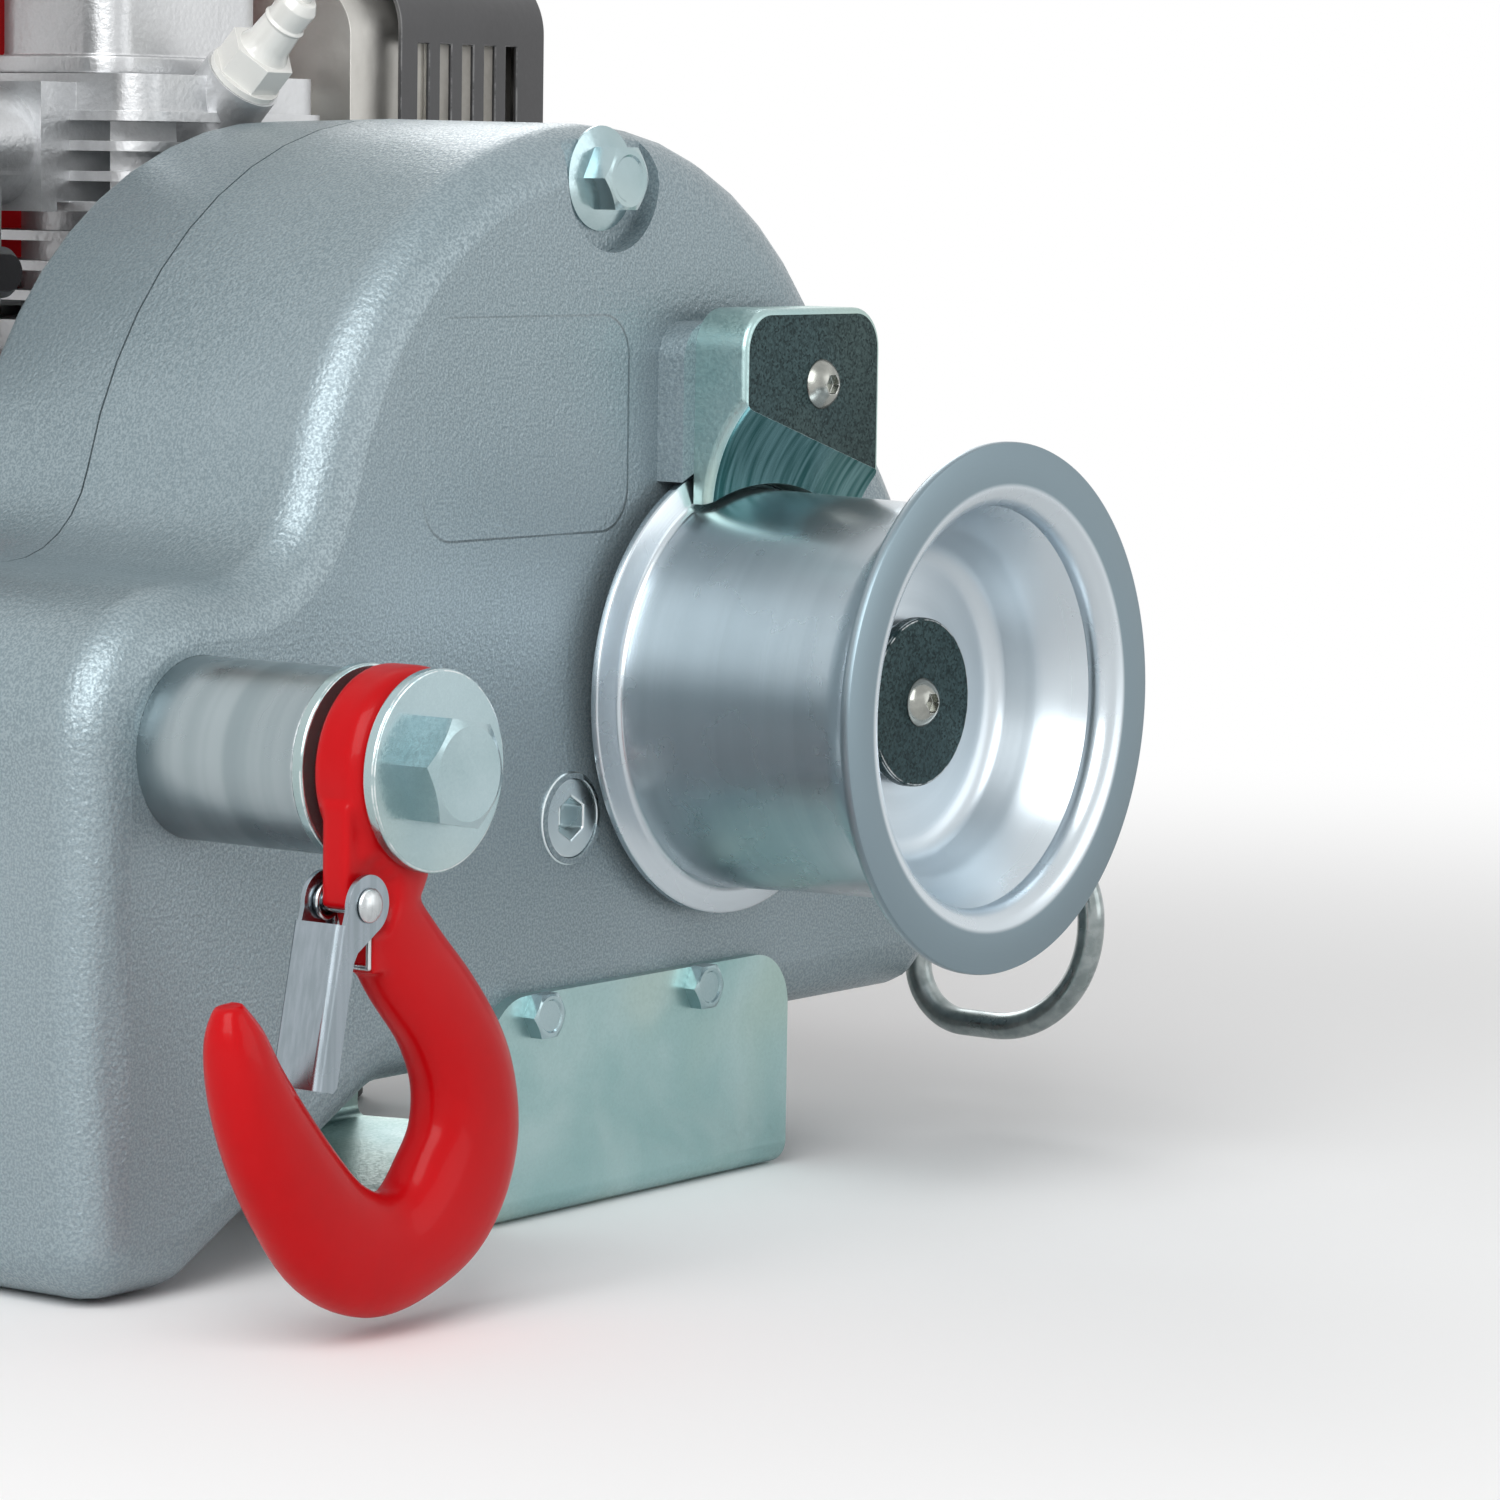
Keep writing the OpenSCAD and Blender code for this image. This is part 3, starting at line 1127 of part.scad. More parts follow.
// The engine, drawn about the crankshaft: X across, Y along the shaft, Z up
flange_t = 8;
neck_r = 48;
chamber_r = 40;
chamber_y0 = rear_y + flange_t + crank_w + 2;
chamber_y1 = case_y - crank_w - 2;
cylinder_y = (chamber_y0 + chamber_y1) / 2;
cylinder_r = 24;
piston_r = 20;
base_t = 6;
lug_t = 6;
lug_places = [for (a = [20, 160, 215, 325]) (fan_r + 5) * [cos(a), sin(a)]];
lug_r = 7;
foot_bolt_places = [for (x = [-1, 1], y = [cylinder_y - 10, cylinder_y + 18]) [x * (case_half - 12), y]];
module crankcase() {
    color(cast) at_crank() difference() {
        union() {
            y_turn() polygon([
                [0, rear_y], [flange_r, rear_y], [flange_r, rear_y + flange_t - 1], [flange_r - 1, rear_y + flange_t],
                [neck_r + 2, rear_y + flange_t], [neck_r, rear_y + flange_t + 2], [neck_r, case_y - 1], [0, case_y - 1]]);
            xz_plate(chamber_y0 - 2, case_y - 4)
                round_rect([-case_half, -case_under], [case_half, case_top], 10);
            xz_plate(case_y - lug_t, case_y) {
                circle(fan_r);
                for (p = lug_places) translate(p) circle(lug_r);
            }
            // Oil filler neck, low on the left
            translate([-case_half + 4, chamber_y0 + 10, -34]) rotate([0, -60, 0]) cylinder(r = 11, h = 16);
        }
        y_rod(crank_d / 2 + 2, rear_y - 1, case_y + 1);
        y_rod(crank_od / 2 + fit, rear_y + flange_t, chamber_y0);
        y_rod(crank_od / 2 + fit, chamber_y1, case_y + 1);
        y_rod(chamber_r, chamber_y0, chamber_y1);
        translate([0, cylinder_y, 0]) cylinder(r = piston_r, h = far);
        translate([-fin_w / 2 - 1, cylinder_y - fin_w / 2 - 1, case_top]) cube([fin_w + 2, far, far]);
        for (p = mount_bolt_places - [for (i = [0 : 3]) input_axis]) y_rod(3.2, rear_y - 1, rear_y + flange_t + 1, p);
        for (p = lug_places) y_rod(2.5 + fit, case_y - lug_t - 1, case_y + 1, p);
        for (p = foot_bolt_places) translate([p[0], p[1], -case_under - 1]) cylinder(r = 3 + fit, h = 14);
        for (x = [-1, 1], y = [-1, 1])
            translate([x * 25, cylinder_y + y * 25, case_top - 12]) cylinder(r = 3 + fit, h = 13);
    }
}
port_z = case_top + 48;
port_x = fin_w / 2 + 5;
plug_lean = 45;
module at_plug() {
    translate([0, cylinder_y - fin_w / 2 + 2, case_top + cylinder_h - 3]) rotate([plug_lean, 0, 0]) children();
}
module cylinder_block() {
    fin_t = 2.2;
    pitch = (cylinder_h - base_t - 8) / fin_count;
    difference() {
        union() {
            translate([0, 0, case_top]) cylinder(r = cylinder_r, h = cylinder_h);
            translate([0, 0, case_top]) linear_extrude(base_t) round_rect([-32, -32], [32, 32], 8);
            for (k = [1 : fin_count]) translate([0, 0, case_top + base_t + pitch * k - fin_t]) linear_extrude(fin_t)
                round_rect(-[fin_w, fin_w] / 2, [fin_w, fin_w] / 2, 10);
            translate([0, 0, case_top + cylinder_h - 8]) linear_extrude(8)
                round_rect(-[fin_w - 4, fin_w - 4] / 2, [fin_w - 4, fin_w - 4] / 2, 8);
            translate([-port_x, -13, port_z - 16]) cube([2 * port_x, 26, 26]);
        }
        translate([0, 0, case_top - 1]) cylinder(r = piston_r, h = cylinder_h - 9);
        translate([-port_x - 1, 0, port_z - 4]) rotate([0, 90, 0]) cylinder(r = 7, h = 2 * port_x + 2);
        for (x = [-1, 1], y = [-1, 1]) translate([x * 25, y * 25, 0]) {
            translate([0, 0, case_top - 1]) cylinder(r = 3.2, h = base_t + 2);
            translate([0, 0, case_top + base_t]) cylinder(r = 6.5, h = cylinder_h - base_t - 8 - fin_t);
        }
    }
}
module cylinder_node() {
    color(cast) at_crank() difference() {
        union() {
            translate([0, cylinder_y, 0]) cylinder_block();
            at_plug() translate([0, 0, -15]) cylinder(r = 9, h = 19);
        }
        at_plug() translate([0, 0, -13]) cylinder(r = 5 + fit, h = 20);
    }
}
module spark_plug() {
    color([0.93, 0.92, 0.88]) at_crank() at_plug() {
        translate([0, 0, -11]) cylinder(r = 5, h = 15 + slip);
        translate([0, 0, 4]) cylinder(r = 8.5, h = 1.5);
        translate([0, 0, 5.5 - slip]) cylinder(r = 7 / cos(30), h = 7, $fn = 6);
        translate([0, 0, 12.5 - 2 * slip]) rotate_extrude() polygon([
            [0, 0], [6, 0], [5, 2.5], [4.6, 8], [5, 8.6], [4.4, 9.2], [4.6, 14], [3.4, 16], [2, 16], [2, 22], [0, 22]]);
    }
}
cover_h = 24;
module rocker_cover() {
    color(black) at_crank() translate([0, cylinder_y, case_top + cylinder_h]) difference() {
        union() {
            linear_extrude(4) round_rect([-29, -21], [29, 21], 9);
            linear_extrude(cover_h - 3) round_rect([-26, -18], [26, 18], 8);
            linear_extrude(cover_h) round_rect([-24, -16], [24, 16], 7);
            for (y = [-9, 0, 9]) translate([-20, y - 1.5, cover_h - 1]) cube([40, 3, 2.5]);
        }
        translate([0, 0, -1]) linear_extrude(cover_h - 3) round_rect([-23, -15], [23, 15], 6);
    }
}
crank_y0 = shoe_y + 0.5;
crank_y1 = case_y + 36;
module crankshaft() {
    web_t = 9;
    throw = 18;
    color(steel) at_crank() {
        y_turn() polygon([
            [0, crank_y0], [crank_r - 0.6, crank_y0], [crank_r, crank_y0 + 0.6], [crank_r, shoe_y + shoe_w + 1.6],
            [crank_r + 1.5, shoe_y + shoe_w + 1.6], [crank_r + 1.5, rear_y + flange_t - 0.5],
            [crank_r, rear_y + flange_t - 0.5], [crank_r, chamber_y0 - 1.5], [crank_r + 3, chamber_y0 - 1.5],
            [crank_r + 3, chamber_y0 + 2], [0, chamber_y0 + 2]]);
        for (y = [chamber_y0 + 1, chamber_y1 - 1 - web_t]) xz_plate(y, y + web_t) intersection() {
            circle(34);
            union() {
                translate([-far, -far]) square([2 * far, far]);
                square([28, 2 * 34], center = true);
            }
        }
        y_rod(9, chamber_y0 + web_t, chamber_y1 - web_t, [0, throw]);
        y_turn() polygon([
            [0, chamber_y1 - 2], [crank_r + 3, chamber_y1 - 2], [crank_r + 3, chamber_y1 + 1.5],
            [crank_r, chamber_y1 + 1.5], [crank_r, crank_y1 - 12], [6, crank_y1 - 12], [6, crank_y1 - 0.6],
            [5.4, crank_y1], [0, crank_y1]]);
    }
}
flywheel_y = case_y + 4;
module flywheel() {
    rim_t = 9;
    blades = 12;
    color([0.5, 0.51, 0.53]) at_crank() translate([0, flywheel_y, 0]) {
        y_turn() polygon([
            [crank_d / 2, 0], [17, 0], [18, 5], [flywheel_r - rim_t, 5], [flywheel_r - rim_t, 0], [flywheel_r, 0],
            [flywheel_r, 14], [flywheel_r - rim_t, 14], [flywheel_r - rim_t - 1, 10], [19, 10], [17, 19],
            [crank_d / 2, 19]]);
        for (k = [1 : blades]) rotate([0, 360 * k / blades, 0])
            translate([26, 9, -1.2]) cube([flywheel_r - 29, 17, 2.4]);
        // Starter dogs round the nut
        difference() {
            y_rod(17, 19 - slip, 25);
            y_rod(11, 18, 26);
            for (k = [0 : 2]) rotate([0, 60 * k, 0]) translate([-20, 21, -3]) cube([40, 10, 6]);
        }
    }
}
duct_half = 44;
module fan_outline(d) {
    circle(fan_r - d);
    round_rect([-duct_half + d, 0], [duct_half - d, duct_h - d], 14 - d);
}
inlet_r = 48;
shell_t = 3;
starter_lugs = [for (a = [30, 150, 270]) (starter_r + 4) * [cos(a), sin(a)]];
module fan_housing() {
    color(black) at_crank() difference() {
        union() {
            xz_plate(case_y, fan_y - 2) fan_outline(0);
            xz_plate(case_y, fan_y) fan_outline(2);
            xz_plate(case_y, case_y + lug_t) for (p = lug_places) translate(p) circle(lug_r);
        }
        xz_plate(case_y - 1, fan_y - shell_t) fan_outline(shell_t);
        y_rod(inlet_r, case_y, fan_y + 1);
        for (p = lug_places) y_rod(2.7, case_y - 1, case_y + lug_t + 1, p);
        for (p = starter_lugs) y_rod(2.5 + fit, fan_y - shell_t - 1, fan_y + 1, p);
    }
}
eyelet_a = 180;
eyelet_y = fan_y + 15;
eyelet_out = starter_r + 9;
module at_eyelet() {
    rotate([0, 90 - eyelet_a, 0]) translate([0, eyelet_y, 0]) children();
}
module starter_cover() {
    t = 2.5;
    dome = [[starter_r, 0], [starter_r, 16], [starter_r - 4, 26], [starter_r - 12, 36], [starter_r - 20, starter_depth - 2],
            [starter_r - 26, starter_depth]];
    color(black) at_crank() {
        difference() {
            union() {
                translate([0, fan_y, 0]) y_turn() polygon(concat(dome, [[0, starter_depth], [0, 0]]));
                xz_plate(fan_y, fan_y + 5) for (p = starter_lugs) translate(p) circle(6.5);
                at_eyelet() cylinder(r = 9, h = eyelet_out);
            }
            translate([0, fan_y, 0]) y_turn() polygon(concat(
                [[0, -1], [starter_r - t, -1]], [for (p = dome) [max(p[0] - t, 0), p[1] - (p[1] > 30 ? t : 0)]],
                [[0, starter_depth - t]]));
            for (k = [0 : 11]) rotate([0, 30 * k + 15, 0]) translate([18, fan_y + 30, -2.5]) cube([24, 20, 5]);
            for (a = [-60, 60, 120, 180, 240]) rotate([0, a, 0]) for (dy = [0 : 2])
                translate([starter_r - 10, fan_y + 8 + 6 * dy, -9]) cube([20, 3, 18]);
            at_eyelet() cylinder(r = 3, h = 2 * starter_r);
            for (p = starter_lugs) y_rod(2.7, fan_y - 1, fan_y + 6, p);
        }
        for (p = starter_lugs) translate([p[0], fan_y + 5, p[1]]) rotate([90, 0, 0]) hex_bolt(5, 9, 8, 4);
    }
}
module starter_grip() {
    bar_l = 58;
    bar_t = 8;
    color(black) at_crank() at_eyelet() translate([0, 0, eyelet_out]) {
        difference() {
            union() {
                rotate_extrude() polygon([[0, 0], [8, 0], [7, 4], [6.2, 9], [6.2, 20], [0, 20]]);
                translate([-bar_l / 2, 0, 20]) rotate([0, 90, 0]) rotate_extrude() polygon(concat(
                    [[0, 0]], arc([bar_t - 4, 4], 4, -90, 0, 4), [[bar_t - 1, bar_l / 2]],
                    arc([bar_t - 4, bar_l - 4], 4, 0, 90, 4), [[0, bar_l]]));
            }
            translate([0, 0, -1]) cylinder(r = 2.5, h = 16);
        }
    }
}
tank_low = duct_h + 7;
tank_centre = [0, fan_y - 20];
cap_place = [-52, 6];
neck_h = 9;
tank_round = 16;
module tank_block(d) {
    low = [d - tank_w / 2, d - tank_l / 2, d];
    high = [tank_w / 2 - d, tank_l / 2 - d, tank_h - d];
    intersection() {
        linear_extrude(tank_h) round_rect([low[0], low[1]], [high[0], high[1]], 28 - d);
        xz_plate(low[1], high[1]) round_rect([low[0], low[2]], [high[0], high[2]], tank_round - d);
        yz_block(low[0], high[0], [low[1], low[2]], [high[1], high[2]], tank_round - d);
    }
}
module fuel_tank() {
    color([0.75, 0.1, 0.1]) at_crank() translate([tank_centre[0], tank_centre[1], tank_low]) difference() {
        union() {
            tank_block(0);
            translate([cap_place[0], cap_place[1], tank_h / 2]) cylinder(r = 16, h = tank_h / 2 + neck_h);
            for (i = [-1, 1], j = [-1, 1]) translate([i * 56, j * 38, -4]) cylinder(r = 9, h = 12);
        }
        tank_block(2.5);
        translate([cap_place[0], cap_place[1], tank_h - 10]) cylinder(r = 13, h = neck_h + 12);
    }
}
module fuel_cap() {
    color(black) at_crank()
        translate([tank_centre[0] + cap_place[0], tank_centre[1] + cap_place[1], tank_low + tank_h]) difference() {
            union() {
                translate([0, 0, 0.5]) cylinder(r = 20, h = 15);
                translate([0, 0, 12]) cylinder(r = 18, h = 5);
                for (k = [0 : 17]) rotate(20 * k) translate([20, 0, 0.5]) cylinder(r = 1.6, h = 13, $fn = 16);
            }
            translate([0, 0, -1]) cylinder(r = 16 + running, h = neck_h + 1.3);
        }
}
module tank_bracket() {
    leg = lug_places[0];
    leg_y = case_y - lug_t - sheet_t;
    color(black) at_crank() difference() {
        union() {
            translate([0, 0, duct_h]) linear_extrude(sheet_t)
                round_rect([-leg[0] - 7, leg_y], [leg[0] + 7, fan_y + 24], 5);
            for (side = [0, 1]) mirror([side, 0, 0]) xz_plate(leg_y, leg_y + sheet_t)
                round_rect([leg[0] - 7, leg[1] - 7], [leg[0] + 7, duct_h + sheet_t - slip], 5);
        }
        for (side = [-1, 1]) y_rod(2.7, leg_y - 1, leg_y + sheet_t + 1, [side * leg[0], leg[1]]);
        translate([-30, leg_y + 22, duct_h - 1]) cube([60, 24, sheet_t + 2]);
    }
}
carb_y = cylinder_y;
carb_z = port_z - 4;
carb_x = -port_x;
carb_l = 43;
cleaner_x = carb_x - carb_l;
throttle_at = [carb_x - 14, carb_y];
choke_at = [carb_x - 27, carb_z];
valve_at = [carb_x - 20, carb_z - 27];
// The choke lever stays below the throttle lever, which turns 17 mm above the choke's pin
choke_l = 13;
module carburettor() {
    color([0.7, 0.7, 0.68]) at_crank() difference() {
        union() {
            translate([carb_x - 5, carb_y - 14, carb_z - 14]) cube([5, 28, 28]);
            translate([cleaner_x, carb_y, carb_z]) rotate([0, 90, 0]) cylinder(r = 13, h = carb_l - 4);
            translate([carb_x - 20, carb_y, carb_z - 34]) cylinder(r = 12, h = 34);
            translate([throttle_at[0], throttle_at[1], carb_z]) cylinder(r = 5, h = 17);
            y_rod(4.5, carb_y - 17, carb_y, choke_at);
            y_rod(5.5, carb_y - 17, carb_y, valve_at);
        }
        translate([cleaner_x - 1, carb_y, carb_z]) rotate([0, 90, 0]) cylinder(r = 7, h = carb_l + 2);
        translate([throttle_at[0], throttle_at[1], carb_z + 9]) cylinder(r = 2 + running, h = 10);
        y_rod(2 + running, carb_y - 18, carb_y - 8.5, choke_at);
        y_rod(2.5 + running, carb_y - 18, carb_y - 13.5, valve_at);
    }
}
// A control lever that points along +X from its pin, which goes down into the carburettor
module lever(l, pin_r, pin_l, w) {
    translate([0, 0, -pin_l]) cylinder(r = pin_r, h = pin_l + 1);
    translate([0, 0, 0.3]) linear_extrude(2) {
        circle(w / 2);
        translate([0, -w / 2]) square([l, w]);
        translate([l, 0]) circle(w / 2);
    }
    translate([l, 0, 0.3]) cylinder(r = w / 2 - 0.6, h = 7);
}
module throttle_lever() {
    color(steel) at_crank() translate([throttle_at[0], throttle_at[1], carb_z + 17])
        rotate(200) lever(18.5, 2, 7.5, 7);
}
module choke_lever() {
    color(black) at_crank() translate([choke_at[0], carb_y - 17, choke_at[1]])
        rotate([90, 0, 0]) rotate(110) lever(choke_l, 2, 8, 7);
}
module fuel_valve_lever() {
    color(black) at_crank() translate([valve_at[0], carb_y - 17, valve_at[1]])
        rotate([90, 0, 0]) rotate(180) lever(16, 2.5, 3, 8);
}
module air_cleaner() {
    low = [carb_y - 28, carb_z - 34];
    high = [carb_y + 22, carb_z + 38];
    color(black) at_crank() difference() {
        union() {
            yz_block(cleaner_x - 26, cleaner_x, low, high, 9);
            yz_block(cleaner_x - 29, cleaner_x - 20, low + [3, 3], high - [3, 3], 7);
        }
        translate([cleaner_x - 20, carb_y, carb_z]) rotate([0, 90, 0]) cylinder(r = 7, h = 30);
        yz_block(cleaner_x - 23, cleaner_x - 3, low + [3, 3], high - [3, 3], 6);
    }
}
muffler_x = port_x + 5;
muffler_low = [cylinder_y - 28, port_z - 34];
muffler_high = [cylinder_y + 16, port_z + 34];
guard_gap = 5;
module muffler() {
    x1 = muffler_x + 58;
    color([0.35, 0.33, 0.32]) at_crank() difference() {
        union() {
            translate([port_x, cylinder_y - 13, port_z - 16]) cube([4, 26, 26]);
            translate([port_x, cylinder_y, port_z - 4]) rotate([0, 90, 0]) cylinder(r = 10, h = 8);
            yz_block(muffler_x, x1, muffler_low, muffler_high, 12);
            yz_block(muffler_x + 26, muffler_x + 30, muffler_low - [1.5, 1.5], muffler_high + [1.5, 1.5], 13);
            for (y = [muffler_low[0] + 12, muffler_high[0] - 12], z = [muffler_low[1] + 12, muffler_high[1] - 12])
                translate([x1 - 1, y, z]) rotate([0, 90, 0]) cylinder(r = 4, h = guard_gap + 1);
        }
        yz_block(muffler_x + 1.5, x1 - 1.5, muffler_low + [1.5, 1.5], muffler_high - [1.5, 1.5], 10.5);
        translate([port_x - 1, cylinder_y, port_z - 4]) rotate([0, 90, 0]) cylinder(r = 7, h = 9);
        translate([muffler_x + 44, cylinder_y - 6, muffler_low[1] - 1]) cylinder(r = 6, h = 4);
    }
}
module muffler_guard() {
    x1 = muffler_x + 58 + guard_gap;
    low = muffler_low - [guard_gap, guard_gap];
    high = muffler_high + [guard_gap, guard_gap];
    middle = (low + high) / 2;
    t = 1.2;
    slot_w = 4;
    color(black) at_crank() difference() {
        yz_block(muffler_x + 12, x1 + t, low, high, 15);
        yz_block(muffler_x + 11, x1, low + [t, t], high - [t, t], 15 - t);
        for (z = [low[1] + 18 : 10 : high[1] - 18], side = [-1, 1])
            translate([x1 - 1, middle[0] + side * 10 - 7, z]) cube([slot_w, 14, slot_w]);
        for (x = [muffler_x + 18 : 8 : x1 - 8]) translate([x, 0, 0]) rotate([90, 0, 90]) linear_extrude(slot_w) {
            translate([low[0] + 18, low[1] - 1]) square([high[0] - low[0] - 36, high[1] - low[1] + 2]);
            translate([low[0] - 1, low[1] + 18]) square([high[0] - low[0] + 2, high[1] - low[1] - 36]);
        }
    }
}
foot_y0 = cylinder_y - 18;
foot_y1 = fan_y - 18;
foot_half = case_half;
tread_h = 12;
module rear_foot() {
    low = tread_h - crank_z;
    top = -case_under;
    color(black) at_crank() difference() {
        union() {
            translate([-foot_half, foot_y0, top - sheet_t]) cube([2 * foot_half, case_y - lug_t - foot_y0, sheet_t]);
            for (side = [0, 1]) mirror([side, 0, 0]) {
                translate([foot_half - sheet_t, 0, 0]) rotate([90, 0, 90]) linear_extrude(sheet_t) polygon([
                    [foot_y0, low], [foot_y1, low], [foot_y1, low + 14], [case_y - lug_t, top], [foot_y0, top]]);
                translate([foot_half - sheet_t, foot_y0, low]) cube([24 + sheet_t, foot_y1 - foot_y0, sheet_t]);
            }
        }
        for (p = foot_bolt_places) translate([p[0], p[1], top - sheet_t - 1]) cylinder(r = 3.3, h = sheet_t + 2);
        for (x = [-1, 1], y = tread_y) translate([x * (foot_half + 12), y, low - 1]) cylinder(r = 3.3, h = sheet_t + 2);
    }
}
tread_y = [foot_y0 + 14, foot_y1 - 14];
module rubber_feet() {
    color(black) for (x = [-1, 1], y = tread_y) translate([arch_x + x * (foot_half + 12), y, 0]) rotate_extrude()
        polygon([[0, 0], [11, 0], [12, 1], [10, tread_h], [3.2, tread_h], [3.2, tread_h + sheet_t],
                 [5.2, tread_h + sheet_t], [4.4, tread_h + sheet_t + 3], [0, tread_h + sheet_t + 3.4]]);
}

housing_front();
housing_gasket();
housing_rear();
casting_bolts();
bearings();
shaft_seal();
oil_plug();
capstan_drum();
drum_washer();
drum_screw();
output_shaft();
output_keys();
output_gear();
second_shaft();
second_gear();
first_shaft();
first_gear();
input_shaft();
clutch_drum();
clutch_hub();
clutch_shoe_right();
clutch_shoe_left();
rope_guide();
guide_screw();
base_bracket();
bracket_bolts();
anchor_bar();
bar_spacers();
bar_bolts();
front_hook();
front_latch();
front_latch_rivet();
front_latch_spring();
rear_hook();
rear_latch();
rear_latch_rivet();
rear_latch_spring();
rope_ring();
ring_bolts();
crankcase();
cylinder_node();  // cylinder
rocker_cover();
crankshaft();
flywheel();
fan_housing();
starter_cover();
starter_grip();
fuel_tank();
tank_bracket();
fuel_cap();
air_cleaner();
carburettor();
choke_lever();
throttle_lever();
fuel_valve_lever();
muffler();
muffler_guard();
spark_plug();
rear_foot();
rubber_feet();
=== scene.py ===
# %% [markdown]
# # A capstan winch, dressed in Blender
# The winch was drawn as exact solids first, and each solid arrives here as one object.
# A capstan winch pulls a rope that is wrapped a few turns round a bare turned drum. This
# lesson gives the casting, the drum, the forged hooks and the small engine behind them their
# rounded edges and their real surfaces.
# Everything is in metres, and every object sits at the origin with its place in its mesh, so
# a pattern on Object coordinates keeps still when the camera moves.

# %% Load the solids
import json
import math

import bmesh
import bpy
from mathutils import Matrix, Vector


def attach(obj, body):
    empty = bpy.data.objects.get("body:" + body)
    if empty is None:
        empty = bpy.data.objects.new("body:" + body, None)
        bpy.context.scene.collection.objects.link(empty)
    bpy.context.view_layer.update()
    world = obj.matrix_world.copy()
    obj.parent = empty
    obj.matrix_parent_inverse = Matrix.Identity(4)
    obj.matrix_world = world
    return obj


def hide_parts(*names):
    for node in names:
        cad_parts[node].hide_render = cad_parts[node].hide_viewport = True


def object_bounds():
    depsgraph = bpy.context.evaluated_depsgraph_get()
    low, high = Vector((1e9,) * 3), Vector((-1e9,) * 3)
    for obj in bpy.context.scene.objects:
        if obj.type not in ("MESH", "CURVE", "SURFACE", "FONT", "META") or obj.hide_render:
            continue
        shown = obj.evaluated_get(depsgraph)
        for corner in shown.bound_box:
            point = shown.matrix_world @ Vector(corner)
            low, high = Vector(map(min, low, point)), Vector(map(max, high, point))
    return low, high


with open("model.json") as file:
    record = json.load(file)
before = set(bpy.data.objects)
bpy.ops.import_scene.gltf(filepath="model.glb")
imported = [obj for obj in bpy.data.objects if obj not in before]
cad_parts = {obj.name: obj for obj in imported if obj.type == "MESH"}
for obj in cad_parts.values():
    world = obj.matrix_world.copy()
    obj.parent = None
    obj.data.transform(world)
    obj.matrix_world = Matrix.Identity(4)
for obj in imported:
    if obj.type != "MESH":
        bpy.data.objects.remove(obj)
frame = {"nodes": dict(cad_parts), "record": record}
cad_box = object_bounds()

MM = 0.001
DRUM_AXIS = Vector((0, 0, 0.108))
BAR_AXIS = Vector((-0.1665, 0, 0.107))
OIL_PLUG = Vector((-0.0511, 0, 0.0834))
print("solids:", len(frame["nodes"]), "box:", [tuple(round(v, 3) for v in c) for c in cad_box])

# %% [markdown]
# The camera stands in front of the drum and well to its left, looking slightly down with a
# long lens. A long lens keeps the drum's round lip nearly an ellipse, as in a shop picture.
# The three unit vectors are the picture's right, its up and the way into it. Blender's
# camera looks along its own minus Z, so the third column is turned round.

# %% Camera
camera_data = bpy.data.cameras.new("camera")
camera_data.sensor_width = 36
camera_data.lens = 131.66
camera_data.clip_end = 60
camera = bpy.data.objects.new("camera", camera_data)
bpy.context.scene.collection.objects.link(camera)
bpy.context.scene.camera = camera
look_right = Vector((0.5936409, -0.80459214, 0.01489882))
look_up = Vector((0.07529377, 0.07396674, 0.99441428))
look_into = Vector((0.80119993, 0.5892032, -0.10449046))
stand = Vector((-0.949766, -0.707502, 0.110438)) + DRUM_AXIS
camera.matrix_world = Matrix((
    (look_right.x, look_up.x, -look_into.x, stand.x),
    (look_right.y, look_up.y, -look_into.y, stand.y),
    (look_right.z, look_up.z, -look_into.z, stand.z),
    (0, 0, 0, 1)))
print("camera stands", round(stand.length, 2), "m from the corner of the frame")

# %% [markdown]
# A shader is a small tree of nodes. Writing `tree.nodes.new` and `tree.links.new` for every
# node hides what the tree does, so one helper adds a node, sets its options and fills its
# inputs: a socket is linked, and anything else becomes the input's own value.

# %% A helper that adds one shader node
def add(tree, kind, options=None, **inputs):
    made = tree.nodes.new("ShaderNode" + kind)
    for name, value in (options or {}).items():
        setattr(made, name, value)
    for name, value in inputs.items():
        key = int(name[1:]) if name[1:].isdigit() else name.replace("_", " ")
        if isinstance(value, bpy.types.NodeSocket):
            tree.links.new(value, made.inputs[key])
        else:
            made.inputs[key].default_value = value
    return made


def maths(tree, operation, a, b=0.0, c=0.0):
    return add(tree, "Math", {"operation": operation}, i0=a, i1=b, i2=c).outputs[0]


def spread(tree, value, low, high, to_low=0.0, to_high=1.0):
    made = add(tree, "MapRange", {"interpolation_type": "SMOOTHSTEP"}, Value=value,
               From_Min=low, From_Max=high, To_Min=to_low, To_Max=to_high)
    return made.outputs["Result"]


def blended(tree, share, first, second):
    made = add(tree, "Mix", {"data_type": "RGBA"}, i0=share, i6=first, i7=second)
    return made.outputs[2]


def group(name, numbers, outputs):
    tree = bpy.data.node_groups.new(name, "ShaderNodeTree")
    face = tree.interface
    face.new_socket(name="Position", in_out="INPUT", socket_type="NodeSocketVector")
    for label, value in numbers.items():
        socket = face.new_socket(name=label, in_out="INPUT", socket_type="NodeSocketFloat")
        socket.default_value = value
    for label in outputs:
        face.new_socket(name=label, in_out="OUTPUT", socket_type="NodeSocketFloat")
    return tree, tree.nodes.new("NodeGroupInput").outputs, tree.nodes.new("NodeGroupOutput").inputs


def scaled(tree, position, size):
    whole = maths(tree, "DIVIDE", 1.0, size)
    return add(tree, "VectorMath", {"operation": "SCALE"}, Vector=position, Scale=whole).outputs[0]


print("helpers for shader nodes are ready")

